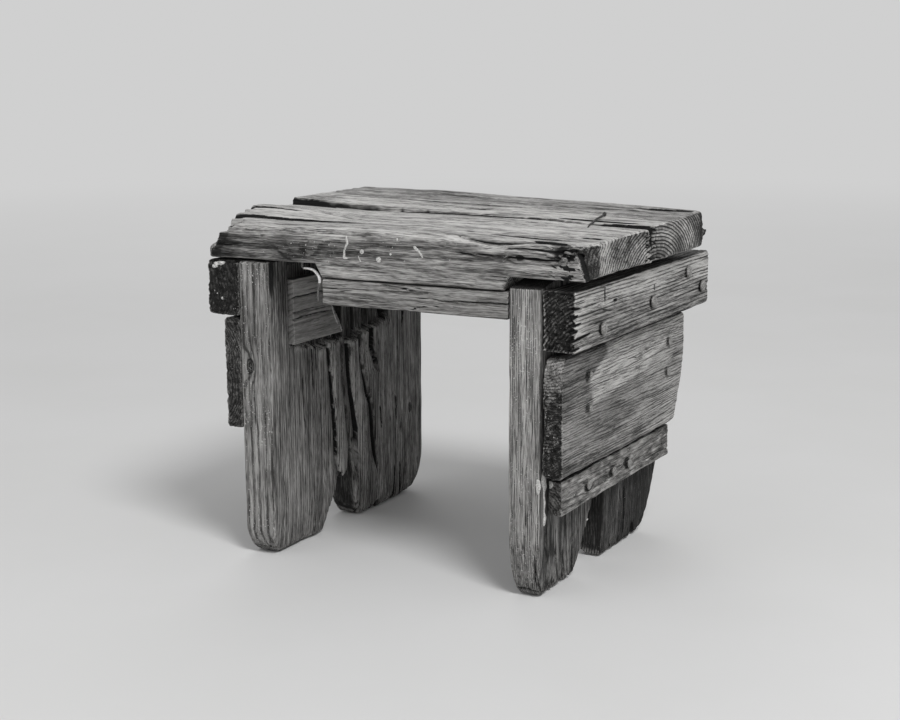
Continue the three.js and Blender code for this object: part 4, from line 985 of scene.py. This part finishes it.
def makeBoard(name, look, seed):
    low, high = boxOf(look["node"])
    grain = look["grain"]
    lines = [gridLines(low[k], high[k], look["counts"][k], endZone=6 if k == grain else 4,
                       endCrowd=2.2 if k == grain else 0.6) for k in range(3)]
    bm, p = blankBoard(lines)
    radius = look["edge"] * (1 + 0.45 * noise(p / 13, seed))
    p, n = roundEdges(p, low, high, np.clip(radius, 0.5, None))
    nx, ny, nz = n.T
    y, z = p[:, 1].copy(), p[:, 2].copy()
    t = (p[:, grain] - low[grain]) / (high[grain] - low[grain])
    for end, part in ((1, 1 - smooth(t, 0, 0.12)), (-1, smooth(t, 0.88, 1))):
        q = p.copy()
        q[:, grain] = end * 50
        p[:, grain] += end * part * look["endDepth"] * np.abs(noise(q / (2.6, 3.4, 2.6), seed + 1))
    if "dome" in look:  # the front end's top corner is worn round
        over = unit((z - high[2]) / look["dome"] + 1)
        p[:, 1] += look["dome"] * (1 - np.sqrt(1 - 0.96 * over ** 2)) * fall(t, 0, 0.25)
    if "rise" in look:
        p[:, 2] += look["rise"] * (z - low[2]) / (high[2] - low[2])
    if "backCut" in look:
        cut, height = look["backCut"]
        slope = unit(1 - (z - low[2]) / height) ** 1.4
        p[:, 1] -= cut * slope * np.clip(2 * (y - low[1]) / (high[1] - low[1]) - 1, 0, None)
    if "backSlant" in look:
        shape = np.array(((0, 0), (0.2, 0.18), (0.38, 0.45), (0.55, 0.7), (0.75, 0.85), (1, 1)))
        slant = look["backSlant"] * np.interp((z - low[2]) / (high[2] - low[2]), shape[:, 0], shape[:, 1])
        p[:, 1] -= slant * (y - low[1]) / (high[1] - low[1])
    dark = openSplits(p, grain, low, high, look["cracks"], seed + 40)
    depth, checks = weather(p, n, grain, look, seed)
    crack = np.maximum(checks * 0.75, dark)
    words = look["node"].split("_")
    # rust rings round the nails, moved down and to the front where the heads' shadows fall: rust stain and painted
    # shadow
    ringAndShadow = nailSpots(p, words[0] + "_" + words[-1] + "_", 6.5, (0, -1.4, -0.6)) * (np.abs(nx) > 0.7)
    depth += 0.7 * ringAndShadow
    for centre, wide, tall in look["nicks"]:
        nick = np.exp(-((y - centre[0]) / wide) ** 4 - ((z - centre[1]) / tall) ** 4) * (nx > 0.7)
        depth += 1.5 * nick
        crack = np.maximum(crack, 0.8 * nick)
    endFace = smooth(-n[:, grain], 0.5, 0.85)
    crumble = fractal(p / (2.4, 3.4, 2.4), seed + 84)
    depth += 1.1 * endFace * look["frontDirt"] * np.abs(crumble)
    p -= n * depth[:, None]
    arris = smooth(1 - np.abs(n).max(1), 0.03, 0.2)
    # the undersides are painted darker: painted shade
    soil = look["soil"] + look["nailDirt"] * ringAndShadow + 0.5 * smooth(-nz, 0.5, 0.9)
    soil += look["frontDirt"] * endFace * (0.7 + 0.6 * crumble)
    # top faces, in the narrow gaps under the seat and other boards, are painted dark: painted shade
    soil += 0.7 * (nz > 0.6) * (look["slot"] != "seat_wood")
    if name == "rightSideBoard":
        soil += endFace * (0.18 * fall(z, 140, 166) - 0.6 * smooth(z, 158, 172) + 0.5 * crumble)
    bleach = look["bleach"] * (1 - endFace) * (1 + 0.8 * grained(p, grain, 14, 70, seed + 85))
    soil += look["streaks"] * (1 - endFace) * unit(grained(p, grain, 2.4, 40, seed + 89))
    mottle = look["mottle"] * fractal(p / (5, 7, 3.6), seed + 87)
    bleach += (1 - endFace) * unit(2.2 * mottle)
    soil += (1 - endFace) * np.clip(-1.3 * mottle, 0, 0.6)
    if name == "rightSideBoard":
        bleach, soil = panelTouch(p, n, bleach, soil)
        bleach += endFace * smooth(z, 152, 172) * np.clip(0.35 + 1.2 * crumble, 0, 0.8)
    if name == "rightTopCleat":  # the rain has washed its upper half paler
        washed = smooth(z + 0.02 * y, 221, 227)
        nearEnd = 1 - smooth(y + 9 * noise(coords(z / 2), seed + 88), 4, 20)
        bleach += 0.6 * washed * (nx > 0.5) + 1.2 * smooth(nx, 0.3, 0.7) * nearEnd
        soil += 0.26 * (1 - washed) * smooth(y, 20, 40) * (nx > 0.5)
    wear = arris * (0.55 + 0.45 * fractal(p / 8, seed + 83))
    paint = look["paint"] * (1 - endFace) + look["endPaint"] * endFace
    paint *= 1 + 0.6 * fractal(p / 16, seed + 86)
    marks = {"crack": crack, "wear": wear, "soil": soil, "bleach": bleach, "paint": paint,
             "endGrain": look["endWeave"] * smooth(np.abs(n[:, grain]), 0.6, 0.9)}
    finishBoard(name, bm, p, marks, look)


for order, (name, look) in enumerate(boards.items()):
    makeBoard(name, {**plain, **look}, 331 + 50 * order)
print("boards carved")

# Iron: nail heads, and the two bent nails

iron = {
    "rust": ironMaterial("rustyIron", (0.05, 0.048, 0.045, 1), (0.15, 0.147, 0.142, 1), 0.4, 0.5),
    "wornHead": ironMaterial("wornNailHead", (0.13, 0.127, 0.122, 1), (0.36, 0.354, 0.345, 1), 0.3, 0.42),
    # a pale, shiny and a dark copy of the same wire, for its bend and for the rest of it: painted highlight and painted
    # shade
    "bright": ironMaterial("brightWire", (0.5, 0.495, 0.49, 1), (0.85, 0.84, 0.83, 1), 0.6, 0.3),
    "black": ironMaterial("blackNail", (0.018, 0.0175, 0.017, 1), (0.055, 0.054, 0.052, 1), 0.2, 0.6),
    "dull": ironMaterial("dullWire", (0.06, 0.059, 0.057, 1), (0.17, 0.167, 0.163, 1), 0.4, 0.45), "sides": 20,
    "dent": 0.25, "shank": 0.42, "sunkHead": 0.62, "smallHead": 0.85, "headHeights": (1.8, 1.2), "domeHeight": 3.0,
    "domeProud": 0.9, "domeWide": 1.12,
    # the head's outline as shares of its radius and, down from its top, of its height
    "profile": ((0.9, 1), (1, 0.8), (0.97, 0.45), (0.8, 0.2), (0.4, 0.04), (0, 0)),
    "hook": ((60.5, 4.6, 262), (60.3, 4.6, 250), (60.6, 4.4, 246.2), (62.4, 4.1, 245.3), (67, 3.8, 245.2),
        (71.7, 3.5, 244.3), (75.4, 3.1, 241.6), (77.6, 2.8, 238.3), (77.9, 2.5, 234.5), (76.8, 2.4, 230),
        (76.2, 2.4, 224), (76.4, 2.4, 219.6)), "hookRadii": (1.0, 1.0, 0.9, 0.8, 0.95, 1.15, 1.3, 1.3, 1.15, 0.95,
        0.9, 0.75), "brightFrom": 3, "brightTo": 8, "bent": ((268, 98, -3), (266.8, 103, -0.4), (264.5, 112, 0.6),
        (262.6, 122, 1.0), (261, 133, 1.3), (259.6, 144, 1.5), (259, 153, 1.9)),
    "bentRadii": (0.5, 0.6, 0.8, 0.85, 0.85, 0.85, 0.85), "bentHead": 1.7,
}
paint = {
    "tone": (0.66, 0.655, 0.64, 1), "height": 0.32,
    # for each run: the pieces it lies on, the way it faces, its points on that face and its widths
    "runs": (
        ("seatPlank", (1, -1), ((104.7, 274), (106, 268.2), (103.1, 262.5), (102.8, 256.4), (106.5, 255.9)),
            (0.7, 1.1, 0.8, 1.2, 0.6)),
        ("seatPlank", (1, -1), ((118.6, 263.6), (119.2, 262.2), (120, 260.4)), (1.4, 2.0, 1.2)),
        ("seatPlank", (1, -1), ((115.9, 258.5), (118.2, 253.9)), (0.5, 0.6)),
        ("seatPlank", (1, -1), ((134.0, 258.6), (134.4, 256.8), (134.8, 254.4)), (1.7, 2.4, 1.4)),
        ("seatPlank", (1, -1), ((144.2, 261.9), (146.2, 261.2)), (1.0, 1.3)),
        ("seatPlank", (1, -1), ((150.4, 273.4), (152.2, 273)), (1.0, 1.2)),
        ("seatPlank", (1, -1), ((166.2, 268.9), (168.6, 266.6), (171, 265), (174.1, 260.4)), (1.1, 1.3, 1.0, 0.6)),
        ("seatPlank", (1, -1), ((88, 252.5), (88.6, 251.9)), (0.6, 0.6)),
        ("seatPlank", (1, -1), ((52.5, 265.4), (53.2, 265)), (0.6, 0.6)),
        ("seatPlank", (1, -1), ((66.5, 264.8), (67.4, 264.5)), (0.7, 0.6)),
        ("rightLegBoard", (0, 1), ((6.5, 102), (7.4, 95), (9.8, 89), (8.4, 83), (9.7, 76), (8.8, 69), (9.8, 64),
            (8.6, 58)), (2.0, 4.2, 3.2, 1.5, 1.9, 1.3, 2.8, 2.0)),
        ("rightLowBatten", (1, -1), ((277.5, 98), (278.6, 93), (276.6, 87)), (2.4, 2.8, 1.0)),
        ("rightLegBoard", (0, 1), ((91, 42.6), (91, 41.7), (91, 40.4)), (1.8, 2.2, 1.6)),
        ("housedPatch leftLegBoard", (0, 1), ((89.2, 201.3), (93.7, 190.9), (98.4, 183.1)), (0.5, 0.6, 0.55)),
        ("housedPatch leftLegBoard", (0, 1), ((103.4, 181), (104.2, 175.2), (104.6, 169.8)), (0.5, 0.7, 0.6)),
        ("leftTopCleat", (1, -1), ((-27, 241.5), (-24, 243), (-20, 244.5), (-15, 245.5)), (1.4, 2.8, 2.2, 1.0)),
        ("leftTopCleat", (1, -1), ((-17.6, 217), (-17.2, 214.6)), (1.1, 1.0)),
        ("leftTopCleat", (1, -1), ((-23.4, 219.6), (-22.6, 219)), (0.8, 0.8)),
        ("leftTopCleat", (1, -1), ((-26.4, 222), (-26, 221)), (0.6, 0.6)),
        ("rightLegBoard", (1, -1), ((273.0, 97), (273.3, 91), (272.9, 85)), (1.6, 2.2, 0.9)),
    ),
}


def addTube(bm, points, radii, flat=1.0, up=None, sides=10, steps=5):  # a closed rod along a smoothed path
    points, radii = np.array(points, float), np.array(radii, float)
    share = np.linspace(0, len(points) - 1, (len(points) - 1) * steps + 1)
    low = np.clip(share.astype(int), 0, len(points) - 2)
    f = (share - low)[:, None]
    before, after = points[np.clip(low - 1, 0, None)], points[np.clip(low + 2, None, len(points) - 1)]
    a, b = points[low], points[low + 1]
    path = 0.5 * (2 * a + (b - before) * f + (2 * before - 5 * a + 4 * b - after) * f ** 2
                  + (3 * a - before - 3 * b + after) * f ** 3)
    wide = np.interp(share, range(len(radii)), radii)
    rings = []
    side = None
    for i, middle in enumerate(path):
        ahead = Vector(path[min(i + 1, len(path) - 1)] - path[max(i - 1, 0)]).normalized()
        if up is not None:
            side = ahead.cross(Vector(up)).normalized()
        elif side is None:
            side = ahead.orthogonal().normalized()
        else:
            side = (side - ahead * side.dot(ahead)).normalized()
        over = side.cross(ahead)
        turn = [math.tau * k / sides for k in range(sides)]
        rings.append([bm.verts.new(Vector(middle) + side * math.cos(t) * wide[i] + over * math.sin(t) * wide[i] * flat)
                      for t in turn])
    for one, two in zip(rings, rings[1:]):
        for k in range(sides):
            bm.faces.new((one[k], one[(k + 1) % sides], two[(k + 1) % sides], two[k]))
    bm.faces.new(rings[0])
    bm.faces.new(rings[-1])


def finishRods(name, bm, materials, node=None, slot=None):  # from millimetres to the scene's own metres
    bmesh.ops.recalc_face_normals(bm, faces=bm.faces)
    bmesh.ops.transform(bm, matrix=Matrix.Translation(corner) @ Matrix.Scale(mm, 4), verts=bm.verts)
    return finish(name, bm, materials, node, slot)


def makeNail(node, seed):  # a lathe-turned nail, hammered a little out of true
    low, high = boxOf(node)
    thin = int(np.argmax(high - low))
    outward = np.zeros(3)
    outward[thin] = 1 if node.startswith(("right", "seat")) else -1
    middle = (low + high) / 2
    head = (high - low)[[a for a in range(3) if a != thin]].max() / 2
    if node.startswith("right_board"):
        head *= iron["sunkHead"] if middle[1] < 125 else iron["smallHead"]
    if node.startswith("right_batten"):
        head *= iron["smallHead"]
    tip = middle.copy()
    tip[thin] = low[thin] if outward[thin] > 0 else high[thin]
    length = (high - low)[thin]
    tall = iron["headHeights"][0] if head > 4 else iron["headHeights"][1]
    if node.startswith("right_cleat"):  # these heads stand proud and are more domed
        tall, length, head = iron["domeHeight"], length + iron["domeProud"], head * iron["domeWide"]
    shank = head * iron["shank"]
    profile = ((0, 0), (shank * 0.9, 6), (shank, 8), (shank, length - tall))
    profile += tuple((head * r, length - tall * h) for r, h in iron["profile"])
    bm = bmesh.new()
    verts = [bm.verts.new((r, 0, h)) for r, h in profile]
    for a, b in zip(verts, verts[1:]):
        bm.edges.new((a, b))
    bmesh.ops.spin(bm, geom=bm.verts[:] + bm.edges[:], cent=(0, 0, 0), axis=(0, 0, 1), angle=math.tau,
                   steps=iron["sides"], use_merge=True)
    bmesh.ops.remove_doubles(bm, verts=bm.verts, dist=1e-4)
    bmesh.ops.recalc_face_normals(bm, faces=bm.faces)
    p = np.array([v.co for v in bm.verts])
    onHead = smooth(p[:, 2], length - tall * 1.3, length - tall)
    out = np.hypot(p[:, 0], p[:, 1])
    ragged = noise(coords(p[:, 0] / 3, p[:, 1] / 3, seed), seed)
    p[:, :2] *= (1 - onHead * 0.07 * (0.5 + 0.5 * ragged))[:, None]
    p[:, 2] -= onHead * iron["dent"] * (0.5 + 0.5 * noise(p / 2.4 + seed, seed + 1)) * (out < head * 0.9)
    for v, co in zip(bm.verts, p):
        v.co = co
    turn = Vector((0, 0, 1)).rotation_difference(Vector(outward)).to_matrix().to_4x4()
    place = Matrix.Translation(corner + tip * mm) @ turn @ Matrix.Scale(mm, 4)
    bmesh.ops.transform(bm, matrix=place, verts=bm.verts)
    name = "".join(w.capitalize() if i else w for i, w in enumerate(node.split("_")))
    finish(name, bm, [iron["wornHead" if node.startswith("right") else "rust"]], node, "rusty_iron")


for order, node in enumerate(sorted(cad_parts)):
    if "_nail_" in node:
        makeNail(node, 900 + order)


def makeHookedWire():
    bm = bmesh.new()
    addTube(bm, iron["hook"], iron["hookRadii"])
    start, end = iron["hook"][iron["brightFrom"]], iron["hook"][iron["brightTo"]]
    mesh = finishRods("hookedWire", bm, (iron["dull"], iron["bright"]), "hooked_nail", "bright_iron")
    # the upper bend gets the pale, shiny copy and the rest the dark one: painted highlight and painted shade
    for polygon in mesh.polygons:
        centre = (np.array(polygon.center) - corner) / mm
        polygon.material_index = int(centre[0] > start[0] and centre[2] > end[2])


def makeBentNail():
    bm = bmesh.new()
    points = [(x, y, float(seatTop(np.array([x]), np.array([y]))[0]) - 0.2 + over) for x, y, over in iron["bent"]]
    addTube(bm, points, iron["bentRadii"])
    end, r = points[-1], iron["bentHead"]
    face = [(end[0], end[1] + t, end[2] + 0.3) for t in (-0.5, 0, 0.7, 0.9)]
    addTube(bm, face, (r * 0.5, r, r, r * 0.85), sides=18, steps=1)
    for v in bm.verts:
        if v.co.y > end[1] - 0.6:
            v.co.z += 0.9 * (v.co.y - end[1])
    finishRods("bentNail", bm, [iron["black"]], "bent_over_nail", "rusty_iron")


def onSurface(names, face, point):  # the outermost place on the named pieces under a point of that face
    axis, side = face
    others = [k for k in range(3) if k != axis]
    start = np.zeros(3)
    start[others] = point
    start[axis] = side * 600
    ahead = Vector([0, 0, 0])
    ahead[axis] = -side
    best = None
    for name in names.split():
        hit, place, normal, index = bpy.data.objects[name].ray_cast(Vector(corner + start * mm), ahead)
        if hit:
            place = (np.array(place) - corner) / mm
            if best is None or side * place[axis] > side * best[axis]:
                best = place
    return best


def makePaintRuns():
    material, tree, shader, coordinate = newMaterial("oldPaint")
    thin = ramp(noiseField(scaled(coordinate, (1 / mm,) * 3), 0.9, 3.0, 0.7), 0.35, 0.6)
    feed(shader, {"Base Color": blendColour(thin, (0.3, 0.297, 0.29, 1), paint["tone"]), "Roughness": 0.55})
    bpy.context.view_layer.update()
    bm = bmesh.new()
    for names, face, path, radii in paint["runs"]:
        share = np.arange(0, len(path) - 0.999, 0.25)
        flat = np.stack([np.interp(share, range(len(path)), line) for line in np.transpose(path)], 1)
        wide = np.interp(share, range(len(radii)), radii)
        wide[[0, -1]] *= 0.4
        found = [onSurface(names, face, q) for q in flat]
        found = [(f, w) for f, w in zip(found, wide) if f is not None]
        if len(found) > 1:
            up = [0, 0, 0]
            up[face[0]] = face[1]
            addTube(bm, [f for f, w in found], [w for f, w in found], paint["height"], up, 8, 2)
    for v in bm.verts:
        v.co.y = max(v.co.y, 0.02)
    finishRods("paintRuns", bm, [material])


makeHookedWire()
makeBentNail()
print("nails made")
makePaintRuns()
print("paint runs laid")

# Floor, lamps and camera

stage = {"reach": 6.0, "aim": (0, 0, 0.15), "pale": 0.68, "key": 62, "fill": 8, "low": 6, "rear": 14,
         "world": 0.42, "wall": 0.63}


def makeFloor():
    bm = bmesh.new()
    bmesh.ops.create_circle(bm, cap_ends=True, segments=96, radius=stage["reach"])
    mesh = bpy.data.meshes.new("paleFloor")
    bm.to_mesh(mesh)
    bm.free()
    floor = link(bpy.data.objects.new("paleFloor", mesh))
    material, tree, shader, coordinate = newMaterial("paleFloor")
    grey = stage["pale"]
    mottle = ramp(noiseField(coordinate, 3.0, 4.0), 0.3, 0.7)
    tone = blendColour(mottle, (grey, grey, grey * 0.995, 1), (grey * 1.03,) * 3 + (1,))
    feed(shader, {"Base Color": tone, "Roughness": 0.9, "Specular IOR Level": 0.1})
    # far out the floor glows as the wall does, so that no horizon shows
    glow = addNode(tree, "ShaderNodeEmission", {"Color": (stage["wall"],) * 3 + (1,)})
    far = ramp(vectorCalc("LENGTH", coordinate, out="Value"), 0.3, 4.0)
    mix = addNode(tree, "ShaderNodeMixShader", {0: far, 1: shader.outputs[0], 2: glow.outputs[0]})
    feed(tree.nodes["Material Output"], {0: mix.outputs[0]})
    mesh.materials.append(material)


def makeWorld():
    world = bpy.data.worlds.new("softStudio")
    bpy.context.scene.world = world
    world.use_nodes = True
    tree = world.node_tree
    tree.nodes.clear()
    rays = addNode(tree, "ShaderNodeLightPath").outputs
    seen = add(rays["Is Camera Ray"], add(rays["Is Glossy Ray"], rays["Is Transmission Ray"]), True)
    strength = add(mul(seen, stage["wall"] - stage["world"]), stage["world"])
    background = addNode(tree, "ShaderNodeBackground", {"Color": (1, 1, 1, 1), "Strength": strength})
    addNode(tree, "ShaderNodeOutputWorld", {0: background.outputs[0]})


def addLamp(name, place, aim, size, watts):
    data = bpy.data.lights.new(name, "AREA")
    data.shape, data.size, data.energy = "DISK", size, watts
    lamp = link(bpy.data.objects.new(name, data))
    lamp.location = place
    lamp.rotation_mode = "QUATERNION"
    lamp.rotation_quaternion = (Vector(aim) - Vector(place)).to_track_quat("-Z", "Y")


makeFloor()
makeWorld()
for name, place, size, watts in (
    ("keyLamp", (1.7, -1.25, 2.65), 1.1, stage["key"]), ("fillLamp", (-1.6, -2.4, 1.2), 2.2, stage["fill"]),
    ("lowLamp", (2.1, -2.2, 0.7), 1.2, stage["low"]), ("rearLamp", (-1.5, 2.3, 1.9), 1.8, stage["rear"]),
):
    addLamp(name, place, stage["aim"], size, watts)

camera = {"focal": 1650, "yaw": 28.636, "pitch": 10.859, "roll": -0.306, "place": (795.2, -1094.4, 421.8), "wide": 900}


def makeCamera():
    yaw, pitch, roll = (math.radians(camera[k]) for k in ("yaw", "pitch", "roll"))
    ahead = Vector((-math.sin(yaw) * math.cos(pitch), math.cos(yaw) * math.cos(pitch), -math.sin(pitch)))
    right = Vector((math.cos(yaw), math.sin(yaw), 0))
    up = right.cross(ahead)
    right, up = right * math.cos(roll) + up * math.sin(roll), up * math.cos(roll) - right * math.sin(roll)
    data = bpy.data.cameras.new("photoCamera")
    data.sensor_width = 36
    data.lens = 36 * camera["focal"] / camera["wide"]
    data.clip_start, data.clip_end = 0.05, 60
    seen = link(bpy.data.objects.new("photoCamera", data))
    turn = Matrix((right, up, -ahead)).transposed().to_4x4()
    seen.matrix_world = Matrix.Translation(corner + np.array(camera["place"]) * mm) @ turn
    bpy.context.scene.camera = seen


makeCamera()
bpy.context.scene.view_settings.view_transform = "Standard"
print("stage, lamps and camera set")
